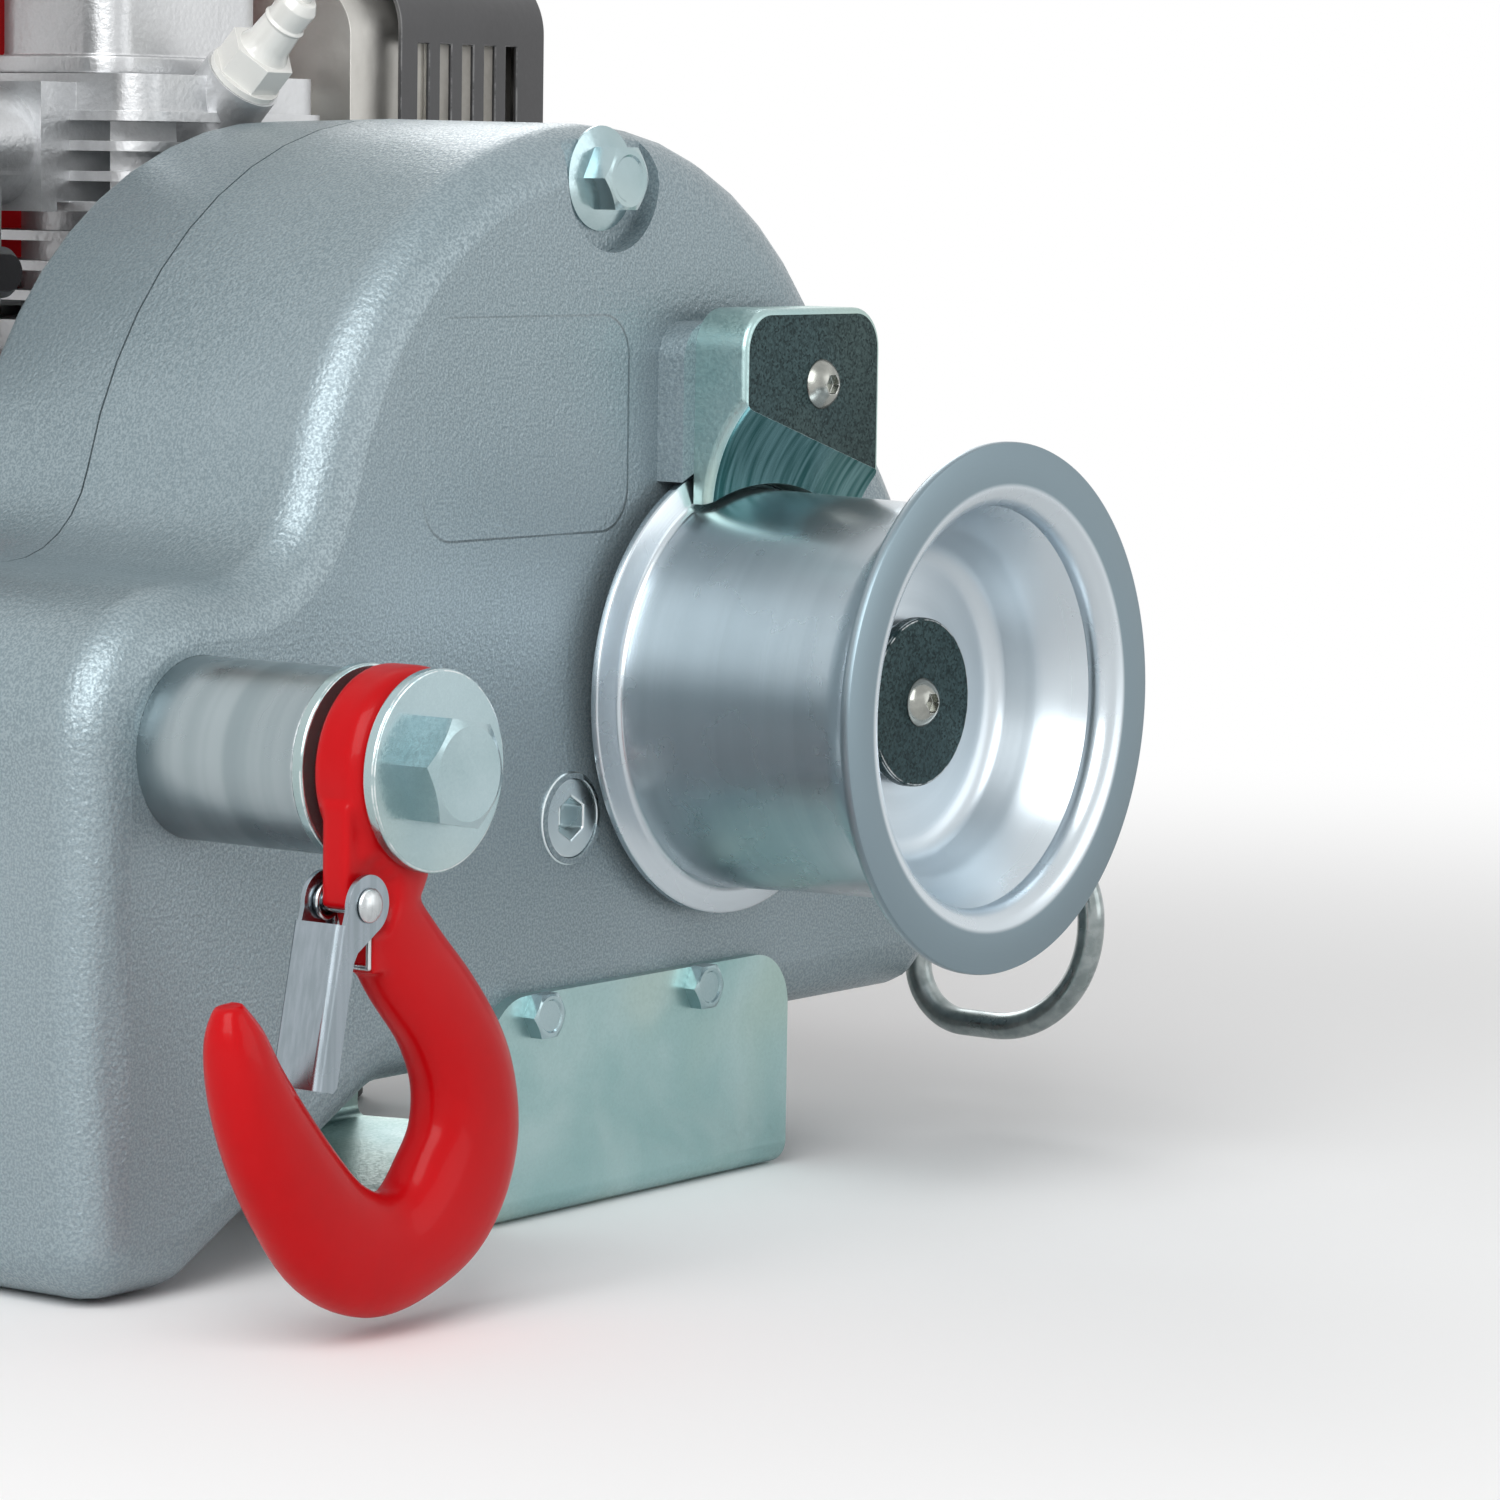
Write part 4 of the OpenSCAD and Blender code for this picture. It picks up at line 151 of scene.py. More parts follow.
# %% [markdown]
# The winch's casting is sprayed with a silver powder that sets with a fine leathery skin.
# Close up it is a crowd of soft bumps about half a millimetre across, with flakes that catch
# the light. Smooth Voronoi cells give the bumps and a finer noise breaks them up. The same
# grain, at another size, gives the skin of die-cast and moulded parts, so it is a group.

# %% Node group: leathery grain
grain, given, result = group("leathery grain", {"Size": 0.0008}, ["Height", "Flake", "Cloud"])
close = scaled(grain, given["Position"], given["Size"])
bumps = add(grain, "TexVoronoi", {"feature": "SMOOTH_F1"}, Vector=close, Scale=0.8, Smoothness=0.6)
skin = add(grain, "TexNoise", Vector=close, Scale=0.9, Detail=3.0, Roughness=0.6)
height = maths(grain, "MULTIPLY_ADD", bumps.outputs["Distance"], 0.45, skin.outputs["Fac"])
flake = add(grain, "TexNoise", Vector=close, Scale=1.7, Detail=1.0)
cloud = add(grain, "TexNoise", Vector=given["Position"], Scale=14.0, Detail=3.0)
grain.links.new(height, result["Height"])
grain.links.new(spread(grain, flake.outputs["Fac"], 0.36, 0.66), result["Flake"])
grain.links.new(spread(grain, cloud.outputs["Fac"], 0.3, 0.7), result["Cloud"])
print("group:", grain.name)

# %% [markdown]
# A lathe leaves fine rings round the axis. On a barrel the rings follow the depth, and on a
# flat face they follow the radius, so the sum of the two, put into a one-dimensional noise,
# runs on over both without a seam. The position has to be measured from the turning axis,
# which a Mapping node in each material does.

# %% Node group: turned rings
rings, given, result = group("turned rings", {"Pitch": 0.0006}, ["Height", "Tone", "Radius"])
flat = add(rings, "VectorMath", {"operation": "MULTIPLY"}, i0=given["Position"], i1=(1, 0, 1))
radius = add(rings, "VectorMath", {"operation": "LENGTH"}, i0=flat.outputs[0]).outputs["Value"]
depth = add(rings, "SeparateXYZ", Vector=given["Position"]).outputs["Y"]
along = maths(rings, "ADD", radius, maths(rings, "MULTIPLY", depth, 0.83))
turns = maths(rings, "DIVIDE", along, given["Pitch"])
fine = add(rings, "TexNoise", {"noise_dimensions": "1D"}, W=turns, Scale=1.0, Detail=3.0)
wide = add(rings, "TexNoise", {"noise_dimensions": "1D"}, W=turns, Scale=0.11, Detail=2.0)
smear = add(rings, "TexNoise", Vector=given["Position"], Scale=22.0, Detail=2.0)
tone = maths(rings, "MULTIPLY_ADD", smear.outputs["Fac"], 0.35, wide.outputs["Fac"])
rings.links.new(fine.outputs["Fac"], result["Height"])
rings.links.new(spread(rings, tone, 0.45, 0.9), result["Tone"])
rings.links.new(radius, result["Radius"])
print("group:", rings.name)

# %% [markdown]
# Zinc plating is a patchwork of pale green, grey and straw yellow, with a fine crystal
# speckle and a few scratches from the bench. Large soft noise gives the patches, small
# Voronoi cells the crystals, and a noise stretched a hundredfold along one way the scratches.

# %% Node group: plated skin
plating, given, result = group("plated skin", {"Patch": 0.03, "Crystal": 0.0006},
                               ["Patch", "Tint", "Crystal", "Scratch"])
patch = add(plating, "TexNoise", Vector=scaled(plating, given["Position"], given["Patch"]),
            Scale=1.0, Detail=4.0, Roughness=0.55, Distortion=0.6)
tint = add(plating, "TexNoise", Vector=scaled(plating, given["Position"], given["Patch"]),
           Scale=0.55, Detail=2.0)
crystal = add(plating, "TexVoronoi", Vector=scaled(plating, given["Position"], given["Crystal"]),
              Scale=1.0)
crystal_tone = add(plating, "SeparateXYZ", Vector=crystal.outputs["Color"]).outputs["X"]
drawn = add(plating, "Mapping", Vector=given["Position"], Rotation=(0.3, 0.5, 0.9),
            Scale=(1500, 12, 1500))
scratch = add(plating, "TexNoise", Vector=drawn.outputs[0], Scale=1.0, Detail=2.0)
plating.links.new(spread(plating, patch.outputs["Fac"], 0.3, 0.7), result["Patch"])
plating.links.new(spread(plating, tint.outputs["Fac"], 0.42, 0.62), result["Tint"])
plating.links.new(crystal_tone, result["Crystal"])
plating.links.new(spread(plating, scratch.outputs["Fac"], 0.62, 0.8), result["Scratch"])
print("group:", plating.name)

# %% [markdown]
# Handling rubs the paint and plating on the edges, and grease and dust dull the rest in patches.
# The edge mask isn't guessed from the picture: the bevels that this script cuts write the number 1
# on the middle of each rounded edge, and the group breaks that up. On the casting the same broken
# edge mask carries a painted highlight instead of wear.

# %% Node group: handling wear and edge sheen
wear, given, result = group("handling wear and edge sheen", {"Edge": 0.0, "Spot": 0.004}, ["Rubbed", "Dull"])
broken = add(wear, "TexNoise", Vector=scaled(wear, given["Position"], given["Spot"]),
             Scale=1.0, Detail=4.0, Roughness=0.65)
rub = maths(wear, "MULTIPLY", given["Edge"], spread(wear, broken.outputs["Fac"], 0.34, 0.62))
film = add(wear, "TexNoise", Vector=given["Position"], Scale=26.0, Detail=5.0, Roughness=0.6)
wear.links.new(rub, result["Rubbed"])
wear.links.new(spread(wear, film.outputs["Fac"], 0.35, 0.7), result["Dull"])
print("group:", wear.name)

# %% [markdown]
# Each finish starts the same way: a Principled shader whose plain numbers are set on its own
# sockets, the object's coordinates, and the edge mask read back from the mesh. What varies over the
# surface is linked in afterwards, finish by finish. `edge_tone` lays a paler tone over the rounded
# edges, up to the share that a finish asks for. On most finishes this is bare metal rubbed through,
# and on the casting's powder coat it is a painted highlight.

# %% Starting a finish
class Finish:
    def __init__(self, name, metallic, coat=0.0, coat_roughness=0.1, centre=(0, 0, 0)):
        self.material = bpy.data.materials.new(name)
        self.material.use_nodes = True
        self.tree = self.material.node_tree
        self.shader = self.tree.nodes["Principled BSDF"]
        self.shader.inputs["Metallic"].default_value = metallic
        self.shader.inputs["Coat Weight"].default_value = coat
        self.shader.inputs["Coat Roughness"].default_value = coat_roughness
        place = add(self.tree, "TexCoord").outputs["Object"]
        shifted = add(self.tree, "Mapping", Vector=place, Location=tuple(-c for c in centre))
        self.position = shifted.outputs[0]
        edge = add(self.tree, "Attribute", {"attribute_name": "edge"}).outputs["Fac"]
        self.worn = self.use(wear, Edge=edge)

    def use(self, tree, **inputs):
        made = add(self.tree, "Group", {"node_tree": tree}, Position=self.position, **inputs)
        return made.outputs

    def mix(self, share, first, second):
        return blended(self.tree, share, first, second)

    def edge_tone(self, base, bare, most):
        return self.mix(spread(self.tree, self.worn["Rubbed"], 0, 1, 0, most), base, bare)

    def colour(self, socket):
        self.tree.links.new(socket, self.shader.inputs["Base Color"])

    def roughness(self, value, low, high):
        level = spread(self.tree, value, 0, 1, low, high)
        self.tree.links.new(level, self.shader.inputs["Roughness"])

    def bump(self, height, strength, distance):
        made = add(self.tree, "Bump", Strength=strength, Distance=distance, Height=height)
        self.tree.links.new(made.outputs[0], self.shader.inputs["Normal"])


def rgb(red, green, blue):
    return (red, green, blue, 1.0)


print("every finish starts from", Finish.__name__)

# %% [markdown]
# The front of the casting has a low raised panel with round corners, left blank here. It is
# only a fraction of a millimetre high, so it is relief in the finish: the distance from a
# rounded rectangle is measured on the face, and the bump steps up where it turns negative.
# The last factor keeps it on the front face.

# %% The blank panel's outline
PANEL_CENTRE = (-66.4 * MM, 57.9 * MM + DRUM_AXIS.z)
PANEL_HALF = (33.6 * MM, 22.7 * MM)
PANEL_CORNER = 9 * MM
PANEL_STEP = 0.35 * MM
FRONT_FACE = (2 * MM, 1 * MM)
PANEL_RELIEF = 2.6


def panel_mask(f):
    tree = f.tree
    place = add(tree, "SeparateXYZ", Vector=f.position).outputs
    across, up = (maths(tree, "SUBTRACT",
                        maths(tree, "ABSOLUTE", maths(tree, "SUBTRACT", place[axis], middle)),
                        half - PANEL_CORNER)
                  for axis, middle, half in zip("XZ", PANEL_CENTRE, PANEL_HALF))
    outside = add(tree, "CombineXYZ", X=maths(tree, "MAXIMUM", across, 0.0),
                  Y=maths(tree, "MAXIMUM", up, 0.0)).outputs[0]
    reach = add(tree, "VectorMath", {"operation": "LENGTH"}, i0=outside).outputs["Value"]
    inner = maths(tree, "MINIMUM", maths(tree, "MAXIMUM", across, up), 0.0)
    past = maths(tree, "SUBTRACT", maths(tree, "ADD", reach, inner), PANEL_CORNER)
    raised = spread(tree, past, PANEL_STEP, -PANEL_STEP)
    return maths(tree, "MULTIPLY", raised, spread(tree, place["Y"], *FRONT_FACE))


print("blank panel:", [round(2000 * v) for v in PANEL_HALF], "mm")

# %% [markdown]
# ** The casting's powder coat.** It is a cool grey with silver flakes. The flakes are a metal share inside the paint, so the coat is part metallic, and its grain is in the bump. Rounded edges are painted paler through the broken edge mask, as a painted highlight along them.

# %% Finish: silver powder coat on the casting
def powder_coat():
    f = Finish("silver_powder_coat", metallic=0.4, coat=0.2, coat_roughness=0.25)
    skin = f.use(grain, Size=0.0009)
    body = f.mix(skin["Flake"], rgb(0.182, 0.24, 0.266), rgb(0.28, 0.348, 0.376))
    cloudy = f.mix(spread(f.tree, skin["Cloud"], 0, 1, 0, 0.22), body, rgb(0.316, 0.38, 0.415))
    # The paler tone on the rounded edges is a painted highlight, not wear.
    f.colour(f.edge_tone(cloudy, rgb(0.62, 0.66, 0.69), 0.5))
    f.roughness(skin["Flake"], 0.44, 0.3)
    relief = maths(f.tree, "MULTIPLY_ADD", panel_mask(f), PANEL_RELIEF, skin["Height"])
    f.bump(relief, 0.7, 0.0003)
    return f.material


casting_finish = powder_coat()
print("finish:", casting_finish.name)

# %% [markdown]
# **Turned aluminium for the drum.** The barrel is polished by the rope. The flat ring on the
# lip is darker and duller, and the dish is a little duller than the barrel. The radius, which
# the ring group gives back, and the depth pick out the two. Faint rings are both a bump and a
# slight change of tone, as a single one of them looks either painted on or like plastic. The
# anchor bar and the oil plug are steel, turned in the same way about their own axes.

# %% Finish: turned metal
LIP_RADII = (0.0462, 0.0474)
LIP_DEPTHS = (-0.0715, -0.0742)
DISH_RADII = (0.041, 0.038)
DISH_DULL = 0.65


def turned_aluminium():
    f = Finish("turned_aluminium", metallic=1.0, centre=DRUM_AXIS)
    lathe = f.use(rings, Pitch=0.0005)
    pale = f.mix(lathe["Tone"], rgb(0.54, 0.60, 0.64), rgb(0.58, 0.64, 0.68))
    depth = add(f.tree, "SeparateXYZ", Vector=f.position).outputs["Y"]
    lip = maths(f.tree, "MULTIPLY", spread(f.tree, lathe["Radius"], *LIP_RADII),
                spread(f.tree, depth, *LIP_DEPTHS))
    f.colour(f.mix(lip, pale, rgb(0.21, 0.275, 0.31)))
    dish = spread(f.tree, lathe["Radius"], *DISH_RADII, 0, DISH_DULL)
    dulled = maths(f.tree, "MAXIMUM", maths(f.tree, "MULTIPLY", f.worn["Dull"], 0.25),
                   maths(f.tree, "MAXIMUM", lip, dish))
    f.roughness(dulled, 0.27, 0.4)
    f.bump(lathe["Height"], 0.16, 0.00006)
    return f.material


def turned_steel(name, centre, dark, pale):
    f = Finish(name, metallic=1.0, centre=centre)
    lathe = f.use(rings, Pitch=0.0007)
    f.colour(f.edge_tone(f.mix(lathe["Tone"], dark, pale), rgb(0.85, 0.87, 0.88), 0.6))
    f.roughness(f.worn["Dull"], 0.26, 0.38)
    f.bump(lathe["Height"], 0.12, 0.00006)
    return f.material


drum_finish = turned_aluminium()
bar_finish = turned_steel("turned_bar", BAR_AXIS, rgb(0.28, 0.34, 0.36),
                          rgb(0.38, 0.44, 0.46))
plug_finish = turned_steel("turned_plug", OIL_PLUG, rgb(0.62, 0.70, 0.72),
                           rgb(0.74, 0.82, 0.84))
print("finishes:", drum_finish.name, bar_finish.name, plug_finish.name)

# %% [markdown]
# ** Zinc plate**, for the bracket, the guide and the bolts, which are smoother. The guide's front and the drum's washer are nearly black with a coarse speckle: the same function makes that finish with a stronger crystal. On the guide's front the near-black tone is a painted dark reflection.

# %% Finish: zinc plate, plain and near black
SPECK_TONE = 0.3


def zinc_plate(name, dark, pale, straw, crystal_share, crystal=0.0006, roughness=(0.28, 0.45)):
    f = Finish(name, metallic=0.9)
    skin = f.use(plating, Patch=0.035, Crystal=crystal)
    base = f.mix(skin["Patch"], dark, pale)
    warm = f.mix(spread(f.tree, skin["Tint"], 0, 1, 0, 0.3), base, straw)
    speckle = maths(f.tree, "MULTIPLY", skin["Crystal"], crystal_share)
    speckled = f.mix(speckle, warm, rgb(*(SPECK_TONE * v for v in dark[:3])))
    scratched = f.mix(maths(f.tree, "MULTIPLY", skin["Scratch"], 0.25), speckled, pale)
    f.colour(f.edge_tone(scratched, rgb(0.85, 0.88, 0.88), 0.8))
    f.roughness(skin["Crystal"], *roughness)
    f.bump(skin["Crystal"], 0.05 + 0.4 * crystal_share, 0.00006)
    return f.material


zinc_finish = zinc_plate("zinc_plate", rgb(0.29, 0.46, 0.46), rgb(0.41, 0.56, 0.56),
                         rgb(0.46, 0.53, 0.42), 0.06)
bolt_finish = zinc_plate("zinc_bolt", rgb(0.30, 0.42, 0.44), rgb(0.43, 0.55, 0.58),
                         rgb(0.46, 0.53, 0.48), 0.02, roughness=(0.14, 0.24))
# Near-black zinc with a coarse speckle. On the guide's front this dark tone is a painted dark
# reflection.
dark_zinc_finish = zinc_plate("dark_speckled_zinc", rgb(0.026, 0.055, 0.06), rgb(0.05, 0.09, 0.095),
                            rgb(0.06, 0.085, 0.07), 0.9, crystal=0.0005, roughness=(0.3, 0.5))
print("finishes:", zinc_finish.name, bolt_finish.name, dark_zinc_finish.name)

# %% [markdown]
# **Brushed steel**, for the latch, the rope ring, the screws, the milled scoop and the gears,
# is a noise drawn out along the ways where its scale is small. The ring and the screws have
# the same scale all ways, which leaves them satin. Gear steel has an oily, browner tone.

# %% Finish: brushed steel
def brushed_steel(name, dark, pale, stretch=(900, 900, 25), roughness=(0.2, 0.38)):
    f = Finish(name, metallic=1.0)
    drawn = add(f.tree, "Mapping", Vector=f.position, Scale=stretch).outputs[0]
    hair = add(f.tree, "TexNoise", Vector=drawn, Scale=1.0, Detail=3.0).outputs["Fac"]
    toned = f.mix(spread(f.tree, hair, 0.3, 0.7), dark, pale)
    f.colour(f.edge_tone(toned, rgb(0.9, 0.91, 0.92), 0.6))
    f.roughness(f.worn["Dull"], *roughness)
    f.bump(hair, 0.15, 0.00005)
    return f.material


bright_finish = brushed_steel("bright_steel", rgb(0.46, 0.49, 0.50), rgb(0.60, 0.63, 0.64))
ring_finish = brushed_steel("satin_steel_rod", rgb(0.24, 0.28, 0.28), rgb(0.36, 0.40, 0.40),
                            stretch=(300, 300, 300))
scoop_finish = brushed_steel("milled_scoop", rgb(0.02, 0.09, 0.09), rgb(0.13, 0.25, 0.26),
                             stretch=(700, 40, 40), roughness=(0.14, 0.22))
screw_finish = brushed_steel("button_screw_steel", rgb(0.27, 0.28, 0.26), rgb(0.38, 0.39, 0.36),
                             stretch=(300, 300, 300), roughness=(0.18, 0.3))
gear_finish = brushed_steel("oiled_gear_steel", rgb(0.30, 0.30, 0.30), rgb(0.46, 0.45, 0.43))
latch_finish = brushed_steel("brushed_latch_steel", rgb(0.27, 0.32, 0.35), rgb(0.33, 0.38, 0.42),
                             stretch=(700, 700, 15), roughness=(0.24, 0.34))
print("finishes:", bright_finish.name, gear_finish.name, latch_finish.name)

# %% [markdown]
# **Paint and plastic** share one recipe: an even colour that drifts a little, a fine skin in
# the bump, and a clear coat where the real surface is glossy. The hook's red enamel is thick,
# so its bump is slow and soft. The engine's castings are the same recipe with a metal share.

# %% Finish: enamel, moulded plastic and castings
def skinned(name, deep, light, roughness, skin_size, bump, coat=0.0, metallic=0.0, edge_tone=None,
            shine=0.5):
    f = Finish(name, metallic=metallic, coat=coat, coat_roughness=0.06)
    f.shader.inputs["Specular IOR Level"].default_value = shine
    skin = f.use(grain, Size=skin_size)
    drift = f.mix(skin["Cloud"], deep, light)
    speck = f.mix(maths(f.tree, "MULTIPLY", skin["Flake"], 0.18), drift, light)
    f.colour(f.edge_tone(speck, edge_tone or light, 0.5))
    f.roughness(f.worn["Dull"], *roughness)
    f.bump(skin["Height"], bump, 0.0002)
    return f.material


hook_finish = skinned("red_enamel", rgb(0.42, 0.002, 0.004), rgb(0.51, 0.003, 0.006), (0.28, 0.4),
                      0.006, 0.25, coat=0.12, shine=0.1)
shroud_finish = skinned("red_moulding", rgb(0.58, 0.012, 0.018), rgb(0.70, 0.02, 0.03),
                        (0.32, 0.45), 0.0012, 0.2, coat=0.3)
tank_finish = skinned("white_moulding", rgb(0.66, 0.66, 0.63), rgb(0.74, 0.74, 0.71),
                      (0.35, 0.5), 0.0015, 0.2, coat=0.15)
black_finish = skinned("black_moulding", rgb(0.018, 0.018, 0.02), rgb(0.04, 0.04, 0.043),
                       (0.45, 0.62), 0.001, 0.45, edge_tone=rgb(0.12, 0.12, 0.12))
rubber_finish = skinned("black_rubber", rgb(0.02, 0.02, 0.02), rgb(0.045, 0.045, 0.045),
                        (0.7, 0.85), 0.0009, 0.5)
enamel_finish = skinned("black_enamel", rgb(0.015, 0.015, 0.017), rgb(0.035, 0.035, 0.038),
                        (0.28, 0.4), 0.002, 0.3, coat=0.4, edge_tone=rgb(0.3, 0.3, 0.3))
alloy_finish = skinned("die_cast_alloy", rgb(0.48, 0.49, 0.50), rgb(0.66, 0.67, 0.68),
                       (0.36, 0.52), 0.0011, 0.5, metallic=0.85, edge_tone=rgb(0.85, 0.86, 0.87))
muffler_finish = skinned("aluminised_sheet", rgb(0.42, 0.40, 0.36), rgb(0.62, 0.61, 0.58),
                         (0.34, 0.5), 0.002, 0.25, metallic=0.9)
porcelain_finish = skinned("glazed_insulator", rgb(0.66, 0.66, 0.63), rgb(0.74, 0.74, 0.71),
                           (0.12, 0.2), 0.003, 0.1, coat=0.5)
lining_finish = skinned("friction_lining", rgb(0.22, 0.16, 0.12), rgb(0.38, 0.30, 0.23),
                        (0.7, 0.85), 0.0008, 0.6)
gasket_finish = skinned("gasket_fibre", rgb(0.06, 0.06, 0.06), rgb(0.12, 0.12, 0.115),
                        (0.75, 0.9), 0.0007, 0.5)
print("painted, moulded and cast finishes:", len(bpy.data.materials), "materials so far")

# %% [markdown]
# ## Which finish goes on which solid
# A part's real finish is a fact of that part, so it is a plain table. The same table says how
# wide the rounding of its edges is, in millimetres: a casting has soft edges and a cut plate
# sharp ones. No edge in the real world is a perfect corner, and the thin line of light on a
# rounded one is what makes metal look like metal. A width of 0 leaves the solid as it came,
# for the gears inside and the thin wires. The bolts, the guide, the drum and the hooks aren't
# in the table, because they are shaped anew further down.

# %% The table of finishes and edge radii
looks = {
    "housing_front": (casting_finish, 0.5), "housing_rear": (casting_finish, 0.5),
    "housing_gasket": (gasket_finish, 0), "bearings": (gear_finish, 0),
    "shaft_seal": (rubber_finish, 0), "oil_plug": (plug_finish, 0.5),
    "drum_washer": (dark_zinc_finish, 0.35), "drum_screw": (screw_finish, 0.2),
    "output_shaft": (gear_finish, 0), "output_keys": (gear_finish, 0),
    "output_gear": (gear_finish, 0), "second_shaft": (gear_finish, 0),
    "second_gear": (gear_finish, 0), "first_shaft": (gear_finish, 0),
    "first_gear": (gear_finish, 0), "input_shaft": (gear_finish, 0),
    "clutch_drum": (gear_finish, 0), "clutch_hub": (gear_finish, 0),
    "clutch_shoe_right": (lining_finish, 0), "clutch_shoe_left": (lining_finish, 0),
    "guide_screw": (screw_finish, 0.2), "base_bracket": (zinc_finish, 0.45),
    "anchor_bar": (bar_finish, 0.6), "bar_spacers": (bolt_finish, 0.4),
    "front_latch": (latch_finish, 0.22), "rear_latch": (latch_finish, 0.22),
    "front_latch_rivet": (bright_finish, 0.3), "rear_latch_rivet": (bright_finish, 0.3),
    "front_latch_spring": (bright_finish, 0), "rear_latch_spring": (bright_finish, 0),
    "rope_ring": (ring_finish, 0.4), "crankcase": (alloy_finish, 0.8),
    "cylinder": (alloy_finish, 0.4), "rocker_cover": (alloy_finish, 1.0),
    "crankshaft": (gear_finish, 0), "flywheel": (alloy_finish, 0.3),
    "fan_housing": (shroud_finish, 1.2), "starter_cover": (black_finish, 1.0),
    "starter_grip": (black_finish, 0.8), "fuel_tank": (tank_finish, 0.5),
    "tank_bracket": (enamel_finish, 0.4), "fuel_cap": (black_finish, 0.6),
    "air_cleaner": (black_finish, 1.0), "carburettor": (alloy_finish, 0.4),
    "choke_lever": (black_finish, 0.3), "throttle_lever": (bolt_finish, 0.25),
    "fuel_valve_lever": (black_finish, 0.3), "muffler": (muffler_finish, 0.8),
    "muffler_guard": (enamel_finish, 0.4), "spark_plug": (porcelain_finish, 0.2),
    "rear_foot": (zinc_finish, 0.45), "rubber_feet": (rubber_finish, 0.6),
}
slot_of = {row["node"]: row["material_slot"] for row in frame["record"]["subparts"]}
body_of = {node: body for body, nodes in frame["record"]["behaviour"]["bodies"].items()
           for node in nodes}
print("table rows:", len(looks))

# %% [markdown]
# ## Rounding the solids
# An arriving solid is a set of loose triangles. A copy of it is merged first, then flat
# neighbours are dissolved into single faces, so that the only edges left are real ones. The
# edges that turn by more than 32 degrees are bevelled with two segments, and the middle line
# of each bevel gets the edge number that the wear group reads. Faces are smooth, the sharp
# turns stay marked, and weighted normals keep the flat faces flat beside the rounded ones.

# %% A copy of a solid with rounded edges
SHARP_TURN = 32
FLAT_TURN = 0.6
SAME_POINT = 0.002 * MM


def loose(name, form):
    mesh = bpy.data.meshes.new(name)
    form.to_mesh(mesh)
    form.free()
    made = bpy.data.objects.new(name, mesh)
    bpy.context.scene.collection.objects.link(made)
    return made


def mesh_piece(name, form, finish, body, slot, stands_for=(), smooth_angle=SHARP_TURN):
    piece = loose(name, form)
    piece.data.polygons.foreach_set("use_smooth", [True] * len(piece.data.polygons))
    piece.data.set_sharp_from_angle(angle=math.radians(smooth_angle))
    piece.data.materials.append(finish)
    if stands_for:
        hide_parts(*stands_for)
    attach(piece, body)
    return piece


def merged_copy(node):
    form = bmesh.new()
    form.from_mesh(frame["nodes"][node].data)
    bmesh.ops.remove_doubles(form, verts=form.verts, dist=SAME_POINT)
    bmesh.ops.dissolve_degenerate(form, edges=form.edges, dist=SAME_POINT)
    bmesh.ops.dissolve_limit(form, angle_limit=math.radians(FLAT_TURN), verts=form.verts,
                             edges=form.edges)
    bmesh.ops.recalc_face_normals(form, faces=form.faces)
    return form


def round_edges(form, width, angle=SHARP_TURN):
    turned = [e for e in form.edges
              if e.is_manifold and e.calc_face_angle(0) > math.radians(angle)]
    mark = form.verts.layers.float.new("edge")
    cut = bmesh.ops.bevel(form, geom=turned, offset=width * MM, offset_type="OFFSET",
                          affect="EDGES", segments=2, profile=0.5, material=-1,
                          clamp_overlap=True)
    fresh = set(cut["faces"])
    for vert in cut["verts"]:
        if vert.is_valid and all(f in fresh for f in vert.link_faces):
            vert[mark] = 1.0
    return len(turned)


def weigh_normals(piece):
    piece.modifiers.new("weighted_normals", "WEIGHTED_NORMAL").keep_sharp = True


def dressed(node, finish, width):
    form = merged_copy(node)
    edges = round_edges(form, width)
    piece = mesh_piece(node + "_dressed", form, finish, body_of[node], slot_of[node], [node])
    weigh_normals(piece)
    return edges, len(piece.data.polygons)


for node, (finish, width) in looks.items():
    if width == 0:
        solid = frame["nodes"][node]
        solid.data.materials.clear()
        solid.data.materials.append(finish)
    else:
        print(node, "edges and faces:", dressed(node, finish, width))

# %% [markdown]
# ## Hexagon bolts
# A real bolt head isn't a plain hexagonal prism. Its corners are turned off by a cone, which
# leaves a scalloped edge, and the top of a small head has a shallow round recess. Every bolt
# is measured from its own solid: the long axis, the side the head is on, its width, its
# flange and how far it is turned. One ring of edges is then extruded along the axis, level
# by level. Sizes are in millimetres.

# %% One bolt from a stack of rings
BOLT_SIDES = 48
FLANGE_RIM = 0.5
FLANGE_TALL = 1.5
SKIRT_SHARE = 0.6
CROWN_SHARE = 0.46
CONE_SLOPE = 0.5
SMALL_HEAD = 15
RECESS = 0.35
THREAD_END = 0.6


def loop_of(ring):
    members = set(ring)
    touching = dict.fromkeys(e for v in ring for e in v.link_edges)
    return [e for e in touching if set(e.verts) <= members]


def stacked(form, levels):
    ring = bmesh.ops.create_circle(form, cap_ends=True, segments=BOLT_SIDES, radius=1.0)["verts"]
    made = []
    for reach, height in levels:
        if made:
            grown = bmesh.ops.extrude_edge_only(form, edges=loop_of(ring))["geom"]
            ring = [item for item in grown if isinstance(item, bmesh.types.BMVert)]
        for vert in ring:
            angle = math.atan2(vert.co.y, vert.co.x)
            rim = reach(angle) if callable(reach) else reach
            vert.co = Vector((math.cos(angle) * rim, math.sin(angle) * rim,
                              height(rim) if callable(height) else height)) * MM
        made += ring
    bmesh.ops.contextual_create(form, geom=loop_of(ring))
    return made


